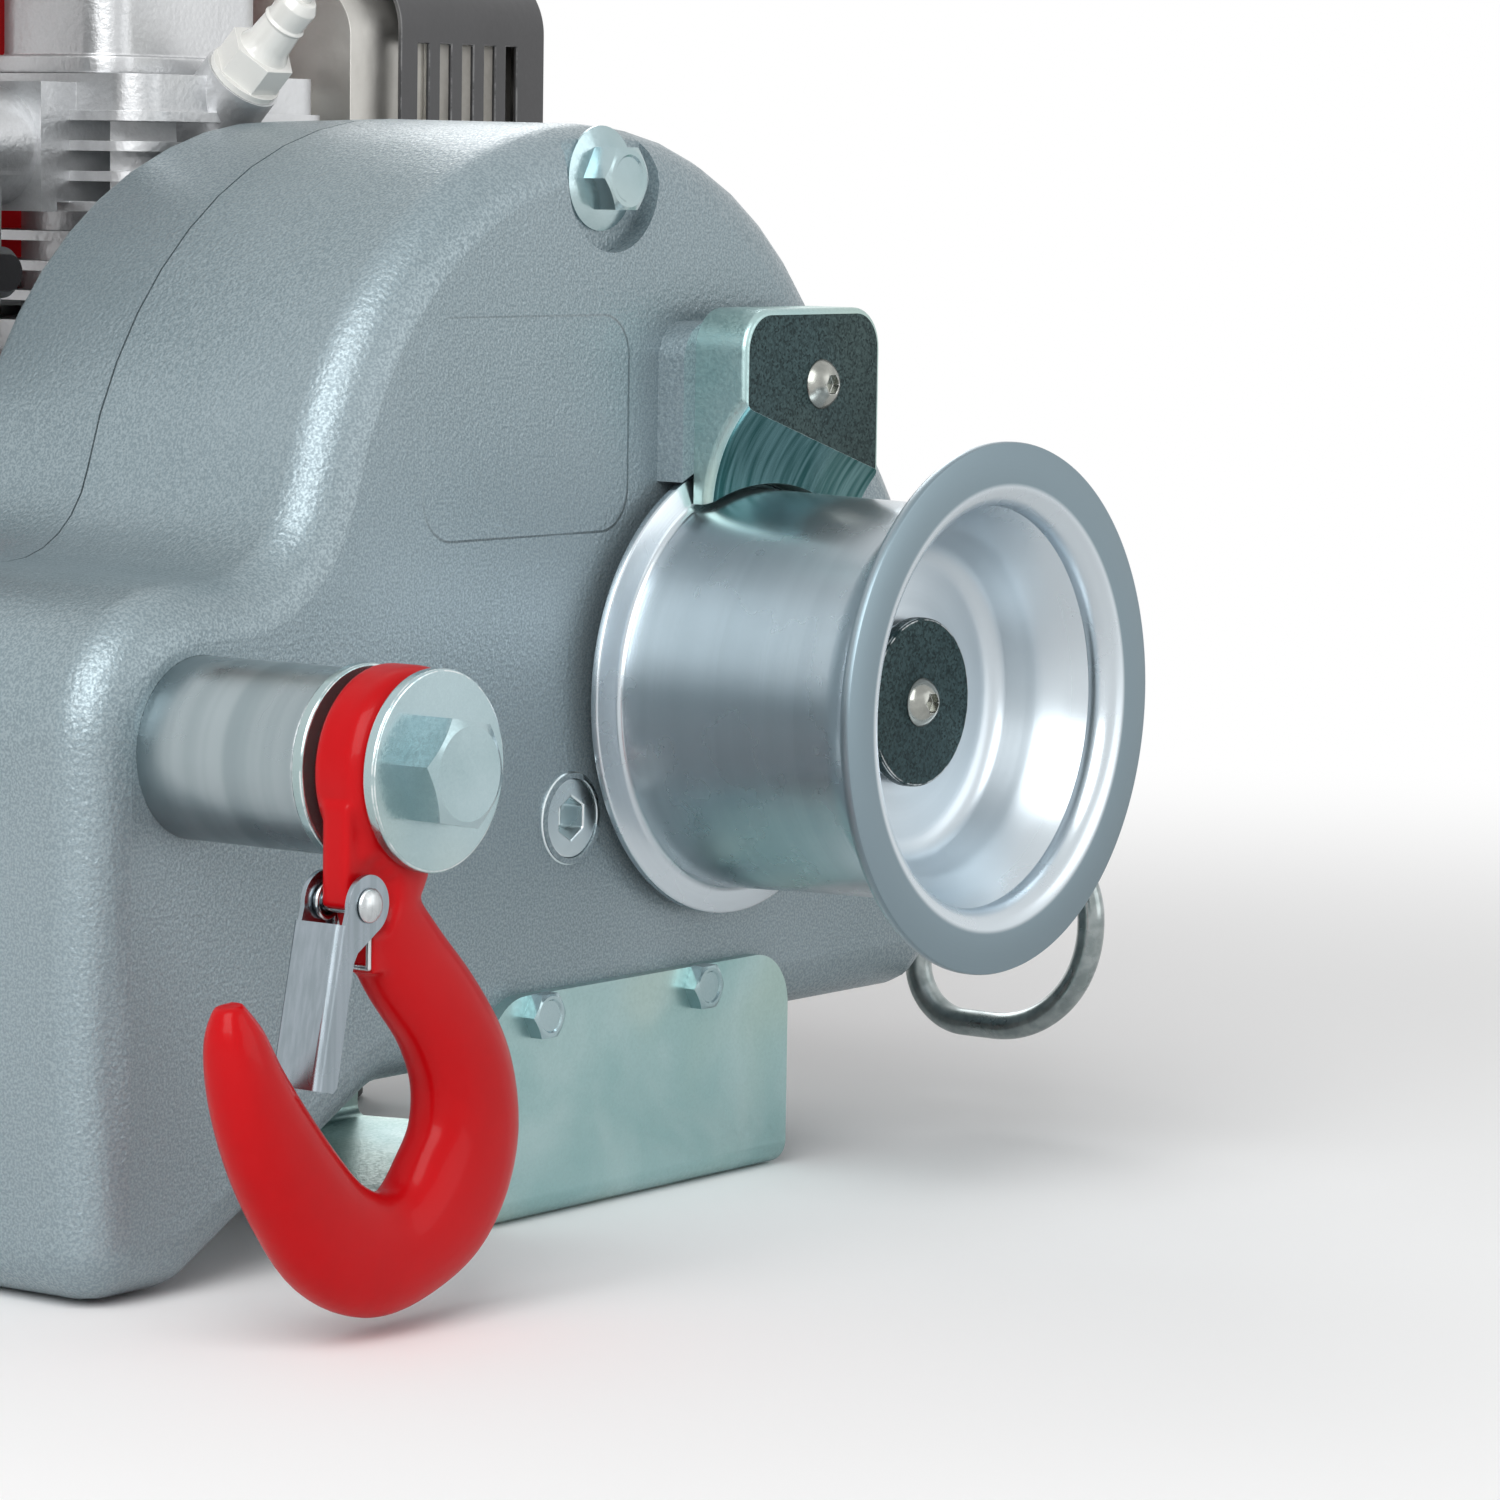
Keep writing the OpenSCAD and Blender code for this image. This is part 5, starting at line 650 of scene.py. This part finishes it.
def bolt_levels(across, head, shank, length, flange):
    half, top = across / 2, across * CROWN_SHARE

    def hexagon(angle):
        return half / math.cos((angle + math.pi / 6) % (math.pi / 3) - math.pi / 6)

    def coned(rim):
        return head - (rim - top) * CONE_SLOPE

    foot = [(hexagon, 0.0)]
    if flange:
        foot = [(flange, 0.0), (flange, FLANGE_RIM), (across * SKIRT_SHARE, FLANGE_TALL),
                (hexagon, FLANGE_TALL + 0.1)]
    crown = [(hexagon, coned), (top, head), (top * 0.84, head)]
    if across < SMALL_HEAD:
        crown += [(top * 0.76, head - RECESS), (top * 0.3, head - RECESS)]
    return [(shank * 0.85, -length), (shank, THREAD_END - length), (shank, 0.0)] + foot + crown


print("a bolt has", len(bolt_levels(10, 6, 3, 20, 7)), "rings of", BOLT_SIDES)

# %% [markdown]
# The islands of a merged solid are found by walking from vertex to vertex, and each is given
# in the order of its vertices, so that every run measures the same corner. The bolt's radius
# at each vertex tells the shank from the head, because the shank is the thinnest part. What
# is wider than the hexagon's corners is a flange. The bracket's bolts have smaller and flatter
# heads in the finer model than their solids have, by the two shares of `HEAD_SHARE`.

# %% Every bolt, measured from its solid
ON_AXIS = 0.5 * MM
PAST_SHANK = 1.2
PAST_CORNER = 1.02
ABOVE_FLANGE = 1.7 * MM
HEAD_SHARE = {"bracket_bolts": (0.92, 0.74)}


def islands(form):
    form.verts.index_update()
    done = set()
    for start in form.verts:
        if start in done:
            continue
        found, edge = set(), {start}
        while edge:
            found |= edge
            edge = {e.other_vert(v) for v in edge for e in v.link_edges} - found
        done |= found
        yield [v.co.copy() for v in sorted(found, key=lambda v: v.index)]


def measured_bolt(points):
    low = [min(p[i] for p in points) for i in range(3)]
    high = [max(p[i] for p in points) for i in range(3)]
    long_way = max(range(3), key=lambda i: high[i] - low[i])
    middle = Vector([(a + b) / 2 for a, b in zip(low, high)])
    axis = Vector([float(i == long_way) for i in range(3)])
    off = [((p - middle) - axis * (p - middle).dot(axis)) for p in points]
    shank = min(o.length for o in off if o.length > ON_AXIS)
    wide = [(p - middle).dot(axis) for p, o in zip(points, off) if o.length > PAST_SHANK * shank]
    if sum(wide) < 0:
        axis, wide = -axis, [-w for w in wide]
    seat, top = min(wide), max(wide)
    head_edge = [o for p, o in zip(points, off) if (p - middle).dot(axis) > seat + ABOVE_FLANGE]
    corner = max(head_edge, key=lambda o: o.length)
    widest = max(o.length for o in off)
    flange = widest if widest > corner.length * PAST_CORNER else 0.0
    start = min((p - middle).dot(axis) for p in points)
    return middle + axis * seat, axis, corner, top - seat, shank, seat - start, flange


def bolts_piece(node):
    form = bmesh.new()
    count = 0
    wide, tall = HEAD_SHARE.get(node, (1.0, 1.0))
    for points in islands(merged_copy(node)):
        seat, axis, corner, head, shank, length, flange = measured_bolt(points)
        levels = bolt_levels(wide * corner.length * math.sqrt(3) / MM, tall * head / MM,
                             shank / MM, length / MM, wide * flange / MM)
        side = axis.cross(corner.normalized())
        turn = Matrix((corner.normalized(), side, axis)).transposed().to_4x4()
        spin_to_corner = Matrix.Rotation(math.radians(-30), 4, "Z")
        bmesh.ops.transform(form, matrix=Matrix.Translation(seat) @ turn @ spin_to_corner,
                            verts=stacked(form, levels))
        count += 1
    bmesh.ops.recalc_face_normals(form, faces=form.faces)
    mesh_piece(node + "_turned", form, bolt_finish, body_of[node], slot_of[node], [node],
               smooth_angle=22)
    return count


for node in ("casting_bolts", "bracket_bolts", "bar_bolts", "ring_bolts"):
    print(node, "bolts:", bolts_piece(node))

# %% [markdown]
# ## The rope guide
# The guide is a thick block over the drum that keeps the first turn of rope in place. Its corners
# are generous, its front is nearly black, a painted dark reflection, and a large round cutter took
# a scoop out of the lower edge, so that the rope slides off it. A cube with bevelled corners is the
# block.

# %% The guide's block
GUIDE_LOW = Vector((-18.5, -20.0, 30.0)) * MM + DRUM_AXIS
GUIDE_HIGH = Vector((31.0, -6.75, 82.0)) * MM + DRUM_AXIS
GUIDE_CORNER = 9 * MM
GUIDE_EDGE = 1.3 * MM


def edges_along(form, axis):
    return [e for e in form.edges
            if abs((e.verts[0].co - e.verts[1].co).normalized()[axis]) > 0.99]


def guide_block():
    form = bmesh.new()
    verts = bmesh.ops.create_cube(form, size=1.0)["verts"]
    bmesh.ops.scale(form, vec=GUIDE_HIGH - GUIDE_LOW, verts=verts)
    bmesh.ops.translate(form, vec=(GUIDE_HIGH + GUIDE_LOW) / 2, verts=verts)
    bmesh.ops.bevel(form, geom=edges_along(form, 1), offset=GUIDE_CORNER, affect="EDGES",
                    segments=10, profile=0.5, material=-1)
    front = [e for e in form.edges if all(v.co.y < GUIDE_LOW.y + 0.01 * MM for v in e.verts)]
    bmesh.ops.bevel(form, geom=front, offset=GUIDE_EDGE, affect="EDGES", segments=4,
                    profile=0.5, material=-1)
    return form


print("guide block:", [round(v / MM, 1) for v in GUIDE_HIGH - GUIDE_LOW], "mm")

# %% [markdown]
# Two Boolean modifiers take away the barrel's hollow and the scoop. The scoop slopes down to
# the right. Its cutter is a tube of rings that flares out in a quarter circle at the block's
# left face, so the edge there comes out widely rounded, because the rope bears on it.

# %% The two cutters
BARREL_CUT_R = 44.4 * MM
BARREL_START = DRUM_AXIS - Vector((0, 0.03, 0))
BARREL_LONG = 0.04
BARREL_SIDES = 160
SCOOP_R = 31.9 * MM
SCOOP_START = Vector((-44.0, -43.1, 46.3)) * MM + DRUM_AXIS
SCOOP_SLOPE = math.radians(17)
SCOOP_WAY = Vector((math.cos(SCOOP_SLOPE), 0, -math.sin(SCOOP_SLOPE)))
SCOOP_SIDES = 240
SCOOP_ENDS = (-10.0, 70.0)
RIDGE_R = 2.8
RIDGE_STEPS = 6
RIDGE_LAP = 0.05


def cylinder_along(form, start, way, radius, length, segments):
    made = bmesh.ops.create_cone(form, cap_ends=True, segments=segments, radius1=radius,
                                 radius2=radius, depth=length)["verts"]
    bmesh.ops.transform(form, verts=made, matrix=Matrix.Translation(start + way * length / 2)
                        @ way.to_track_quat("Z", "Y").to_matrix().to_4x4())


def scoop_cutter():
    form = bmesh.new()
    beside = Vector((0, 1, 0))
    upward = SCOOP_WAY.cross(beside)
    turns = [math.radians(90 * k / RIDGE_STEPS) for k in range(RIDGE_STEPS + 1)]
    flare = [(RIDGE_R * (1 - math.cos(a)) - RIDGE_LAP, RIDGE_R * (1 - math.sin(a)))
             for a in turns]
    rings = []
    for inward, extra in [(SCOOP_ENDS[0], RIDGE_R)] + flare + [(SCOOP_ENDS[1], 0.0)]:
        ring = []
        for i in range(SCOOP_SIDES):
            angle = math.tau * i / SCOOP_SIDES
            out = (beside * math.cos(angle) + upward * math.sin(angle)) * (SCOOP_R + extra * MM)
            along = (GUIDE_LOW.x + inward * MM - SCOOP_START.x - out.x) / SCOOP_WAY.x
            ring.append(form.verts.new(SCOOP_START + out + SCOOP_WAY * along))
        rings.append(ring)
    for one, two in zip(rings, rings[1:]):
        for i in range(SCOOP_SIDES):
            j = (i + 1) % SCOOP_SIDES
            form.faces.new((one[i], one[j], two[j], two[i]))
    form.faces.new(rings[0])
    form.faces.new(rings[-1])
    bmesh.ops.recalc_face_normals(form, faces=form.faces)
    return form


def taken_away(body, cutters):
    for cutter in cutters:
        cut = body.modifiers.new("cut", "BOOLEAN")
        cut.operation = "DIFFERENCE"
        cut.solver = "EXACT"
        cut.object = cutter
    ready = body.evaluated_get(bpy.context.evaluated_depsgraph_get())
    form = bmesh.new()
    form.from_mesh(ready.to_mesh())
    for spent in [body] + cutters:
        bpy.data.objects.remove(spent)
    return form


print("scoop radius", round(SCOOP_R / MM, 1), "mm")

# %% [markdown]
# The cut block is sorted face by face. What lies at the scoop's radius gets the milled finish, and
# what looks straight to the front gets the near-black zinc, a painted dark reflection. The first is
# marked before the edges are rounded, so that the new narrow faces keep the number of their
# neighbours.

# %% Cut, round and finish the guide
ZINC, DARK_REFLECTION, MILLED = range(3)
NEAR_SCOOP = 0.4 * MM
barrel = bmesh.new()
cylinder_along(barrel, BARREL_START, Vector((0, 1, 0)), BARREL_CUT_R, BARREL_LONG,
               BARREL_SIDES)
guide = taken_away(loose("guide_block", guide_block()),
                   [loose("barrel_cutter", barrel), loose("scoop_cutter", scoop_cutter())])
bmesh.ops.remove_doubles(guide, verts=guide.verts, dist=0.01 * MM)
guide.normal_update()
for face in guide.faces:
    middle = face.calc_center_median() - SCOOP_START
    beside = (middle - SCOOP_WAY * middle.dot(SCOOP_WAY)).length
    at_scoop = abs(beside - SCOOP_R) < NEAR_SCOOP and face.normal.y < -0.05
    face.material_index = MILLED if at_scoop else ZINC
round_edges(guide, 0.4, angle=30)
guide.normal_update()
# The flat front gets the near-black zinc, a painted dark reflection.
for face in guide.faces:
    if face.normal.y < -0.999:
        face.material_index = DARK_REFLECTION
guide_piece = mesh_piece("rope_guide_milled", guide, zinc_finish, "frame", "zinc", ["rope_guide"])
guide_piece.data.materials.append(dark_zinc_finish)
guide_piece.data.materials.append(scoop_finish)
weigh_normals(guide_piece)
print("guide faces:", len(guide_piece.data.polygons))

# %% [markdown]
# ## The drum
# The drum is turned from a solid bar, so its shape is a profile spun about the axis. The
# profile is walked point by point in millimetres, as radius and depth, and a small helper
# puts in the arcs: the flare up to the lip, the round mouth of the dish and the corner of
# its floor. `spin` with merged ends closes the turn, and 192 steps leave no flats to see.

# %% Spinning a profile
def arc(centre, radius, start, end, steps):
    angles = [math.radians(start + (end - start) * i / steps) for i in range(steps + 1)]
    return [(centre[0] + radius * math.cos(a), centre[1] + radius * math.sin(a)) for a in angles]


def spun(profile, centre, steps=192):
    form = bmesh.new()
    verts = [form.verts.new((centre.x + r * MM, centre.y + y * MM, centre.z)) for r, y in profile]
    edges = [form.edges.new(pair) for pair in zip(verts, verts[1:] + verts[:1])]
    bmesh.ops.spin(form, geom=verts + edges, cent=centre, axis=(0, 1, 0), angle=math.tau,
                   steps=steps, use_merge=True)
    bmesh.ops.remove_doubles(form, verts=form.verts, dist=0.001 * MM)
    bmesh.ops.recalc_face_normals(form, faces=form.faces)
    return form


outside = ([(55.2, -74.5), (55.6, -74.35), (55.8, -73.9), (55.8, -72.7), (55.6, -72.25),
            (55.2, -72.1)]
           + arc((52.8, -58.29), 11, 250, 180, 14)
           + [(42.4, -33.0)]
           + arc((44.8, -8.0), 1.6, 180, 96, 6)
           + [(48.7, -5.4), (49.05, -5.25), (49.2, -5.0), (49.2, -3.8), (48.8, -3.4)])
inside = ([(38.2, -3.4), (33.8, -40.0), (28.8, -44.0), (18.5, -44.0), (16.5, -42.0), (16.5, -3.4),
           (11.0, -3.4), (11.0, -50.8), (16.0, -50.8), (16.4, -50.65), (16.5, -50.3), (16.5, -49.4),
           (16.7, -49.1), (17.1, -49.0), (29.0, -49.0)]
          + arc((29.5, -54.0), 5, 84, 18, 8)
          + [(36.1, -57.9), (36.9, -60.5)]
          + arc((47.2, -69.5), 5, 165, 266, 14))
drum = mesh_piece("drum_turned", spun(outside + inside, DRUM_AXIS), drum_finish, "drum", "drum",
                  ["capstan_drum"], smooth_angle=40)
print("drum profile points:", len(outside + inside), "faces:", len(drum.data.polygons))

# %% [markdown]
# The oil plug sits in a small machined seat, which is left bright where the powder coat was
# masked off. It is a thin ring, spun like the drum.

# %% The bright seat round the oil plug
seat_profile = [(8.5, 0.4), (8.5, -0.35), (8.75, -0.5), (9.5, -0.5), (9.85, -0.2), (9.85, 0.4)]
seat = mesh_piece("oil_plug_seat", spun(seat_profile, OIL_PLUG, steps=72), plug_finish, "frame",
                  "zinc", smooth_angle=30)
print("seat faces:", len(seat.data.polygons))

# %% [markdown]
# ## The forged hooks
# A forged hook is a bar that was hammered round: its section grows towards the bowl and
# tapers to the tip. Each station is a place, x and z from the eye, and the two half widths
# there, in millimetres. A row of rings is set square to a smooth curve and each pair is bridged,
# which is a loft made from operators. The rings are slightly square, as dies leave them. The
# eye is spun on its own, and a voxel remesh melts the two together, with a few rounds of
# smoothing for the soft blend that a forging has.

# %% Stations along the hook
hook_stations = [
    (-6, -8, 12, 5.8), (-6, -17, 12.2, 5.6), (-6.4, -26.4, 9.4, 5.6), (0, -36, 10, 5.9),
    (11, -47.8, 10.4, 6.6), (18, -60, 11.9, 7.2), (18.6, -73, 13.4, 7.6), (12.3, -83.6, 13.8, 7.7),
    (2, -90.2, 11.7, 7.6), (-9, -91.2, 11.9, 7.4), (-20.2, -86.2, 11.9, 7.2), (-29.2, -77, 11.2, 7),
    (-37.2, -66.3, 10, 6.7), (-43.3, -55.5, 8, 6.2), (-47, -45.5, 5.7, 5), (-48.4, -39.5, 2.6, 2.6)]


def through(points, i, t):
    last = len(points) - 1
    before, a, b, after = (Vector(points[max(0, min(last, k))]) for k in range(i - 1, i + 3))
    return 0.5 * (2 * a + (b - before) * t + (2 * before - 5 * a + 4 * b - after) * t ** 2
                  + (3 * a - before - 3 * b + after) * t ** 3)


def eased(points, steps):
    curve = [through(points, i, k / steps) for i in range(len(points) - 1) for k in range(steps)]
    return curve + [Vector(points[-1])]


stations = eased(hook_stations, 5)
print("hook rings:", len(stations))

# %% [markdown]
# Each ring is a circle drawn out to its station's two half widths and turned square to the
# way in which the curve runs there. An exponent below 1 is what makes it slightly square.

# %% Lofting the hook
HOOK_SIDES = 40
SQUARE = 0.85


def hook_ring(form, here, way, eye):
    ring = bmesh.ops.create_circle(form, segments=HOOK_SIDES, radius=1.0)["verts"]
    for vert in ring:
        across = math.copysign(abs(vert.co.x) ** SQUARE, vert.co.x) * here[2]
        thick = math.copysign(abs(vert.co.y) ** SQUARE, vert.co.y) * here[3]
        vert.co = eye + Vector((here[0] - way.y * across, thick, here[1] + way.x * across)) * MM
    return ring


def hook_form(eye):
    form = bmesh.new()
    loops = []
    for i, here in enumerate(stations):
        last, ahead = stations[max(0, i - 1)], stations[min(len(stations) - 1, i + 1)]
        way = Vector((ahead[0] - last[0], ahead[1] - last[1])).normalized()
        loops.append(hook_ring(form, here, way, eye))
    edges = [loop_of(ring) for ring in loops]
    for first, second in zip(edges, edges[1:]):
        bmesh.ops.bridge_loops(form, edges=first + second)
    for end in (loops[0], loops[-1]):
        form.faces.new(end)
    bmesh.ops.recalc_face_normals(form, faces=form.faces)
    return form


print("hook section:", HOOK_SIDES, "sides")

# %% [markdown]
# The eye's ring has a large round at its front corner. The lug that carries the latch's rivet
# is a thin plate between the latch's ears, and a short nose below it stops the spring. Both
# are cubes stretched in place, which the remesh then blends into the neck. Near the rivet the
# neck itself is pressed as thin as the lug, so that the ears have room.

# %% Eye, lug and nose, melted into one forging
RIVET = (-16.3, -23.9)
EAR_REACH = 8.4
NECK_SIDE = 8.2
LUG_HALF = 3.3
EYE_PROFILE = ([(9.6, -6), (15.4, -6)] + arc((15.4, -2), 4, -90, 0, 6)
               + [(19.4, 4.8), (18.2, 6), (9.6, 6)])
VOXEL = 0.7 * MM
SMOOTHINGS = 5


def block(form, low, high, eye):
    made = bmesh.ops.create_cube(form, size=1.0)["verts"]
    low, high = Vector(low), Vector(high)
    bmesh.ops.scale(form, vec=(high - low) * MM, verts=made)
    bmesh.ops.translate(form, vec=eye + (low + high) / 2 * MM, verts=made)


def press_thin(form, eye):
    for vert in form.verts:
        x, y, z = (vert.co - eye) / MM
        if x < RIVET[0] + NECK_SIDE and math.dist((x, z), RIVET) < EAR_REACH:
            vert.co.y = eye.y + max(-LUG_HALF, min(LUG_HALF, y)) * MM


def hook(name, node, eye):
    form = hook_form(eye)
    press_thin(form, eye)
    ring = spun(EYE_PROFILE, eye, steps=64)
    whole = bpy.data.meshes.new(name + "_parts")
    ring.to_mesh(whole)
    ring.free()
    form.from_mesh(whole)
    block(form, (-19.6, -LUG_HALF, -25.0), (-6, LUG_HALF, -5.5), eye)
    block(form, (-13.6, -4.5, -37.5), (-4, 4.5, -30), eye)
    rough = loose(name + "_rough", form)
    melt = rough.modifiers.new("melt", "REMESH")
    melt.mode = "VOXEL"
    melt.voxel_size = VOXEL
    ready = rough.evaluated_get(bpy.context.evaluated_depsgraph_get())
    forged = bmesh.new()
    forged.from_mesh(ready.to_mesh())
    bpy.data.objects.remove(rough)
    for _ in range(SMOOTHINGS):
        bmesh.ops.smooth_vert(forged, verts=forged.verts, factor=0.5, use_axis_x=True,
                              use_axis_y=True, use_axis_z=True)
    return mesh_piece(name, forged, hook_finish, node, "hook", [node], smooth_angle=180)


for node, depth in (("front_hook", -0.0509), ("rear_hook", 0.1489)):
    made = hook(node + "_forged", node, BAR_AXIS + Vector((0, depth, 0)))
    print(node, "faces:", len(made.data.polygons))

# %% [markdown]
# ## Light and ground
# A plain pale room: the world is white to the camera and to mirror-like surfaces, and softer
# as a light. A big soft lamp stands high on the left, a weak one fills from the front, and a
# third lights the engine's side from behind. Each is a square of so many metres, and its last
# number is its power in watts.

# %% World and lamps
WORLD_LIGHT = 0.32
world = bpy.data.worlds.new("room")
bpy.context.scene.world = world
world.use_nodes = True
sky = world.node_tree
rays = add(sky, "LightPath").outputs
seen = maths(sky, "MAXIMUM", rays["Is Camera Ray"],
             maths(sky, "MAXIMUM", rays["Is Glossy Ray"], rays["Is Transmission Ray"]))
level = spread(sky, seen, 0, 1, WORLD_LIGHT, 1.0)
sky.links.new(level, sky.nodes["Background"].inputs["Strength"])
sky.nodes["Background"].inputs["Color"].default_value = rgb(1, 1, 1)


def lamp(name, place, aim, size, power):
    data = bpy.data.lights.new(name, "AREA")
    data.shape = "RECTANGLE"
    data.size = data.size_y = size
    data.energy = power
    made = bpy.data.objects.new(name, data)
    made.location = place
    made.rotation_euler = (Vector(aim) - Vector(place)).to_track_quat("-Z", "Y").to_euler()
    bpy.context.scene.collection.objects.link(made)


lamp("key", (-1.1, -0.45, 0.95), (-0.05, 0, 0.12), 1.2, 19)
lamp("fill", (0.6, -1.6, 0.5), (-0.05, 0, 0.12), 1.2, 5)
lamp("back", (0.9, 1.3, 1.0), (0, 0.1, 0.12), 1.0, 8)
print("lamps:", len(bpy.data.lights), "world light:", WORLD_LIGHT)

# %% [markdown]
# The floor is a wide disc just under the winch's feet. It keeps the winch's shadow near it
# and fades to the same white as the world further out, so there is no horizon.

# %% Floor
FLOOR_RADIUS = 14.0
FLOOR_DROP = 0.0002
FLOOR_FADE = (0.3, 0.9)
ground = bmesh.new()
bmesh.ops.create_circle(ground, cap_ends=True, segments=96, radius=FLOOR_RADIUS)
floor = loose("floor", ground)
floor.location.z = cad_box[0].z - FLOOR_DROP
floor_material = bpy.data.materials.new("pale_floor")
floor_material.use_nodes = True
tree = floor_material.node_tree
pale = tree.nodes["Principled BSDF"]
pale.inputs["Base Color"].default_value = rgb(0.93, 0.93, 0.93)
pale.inputs["Roughness"].default_value = 0.9
away = add(tree, "VectorMath", {"operation": "LENGTH"}, i0=add(tree, "TexCoord").outputs["Object"])
white = add(tree, "Emission", Color=rgb(1, 1, 1), Strength=1.0)
fade = add(tree, "MixShader", Fac=spread(tree, away.outputs["Value"], *FLOOR_FADE),
           i1=pale.outputs[0], i2=white.outputs[0])
tree.links.new(fade.outputs[0], tree.nodes["Material Output"].inputs["Surface"])
floor.data.materials.append(floor_material)
bpy.context.scene.view_settings.view_transform = "Standard"
print("floor at z", round(floor.location.z, 4))
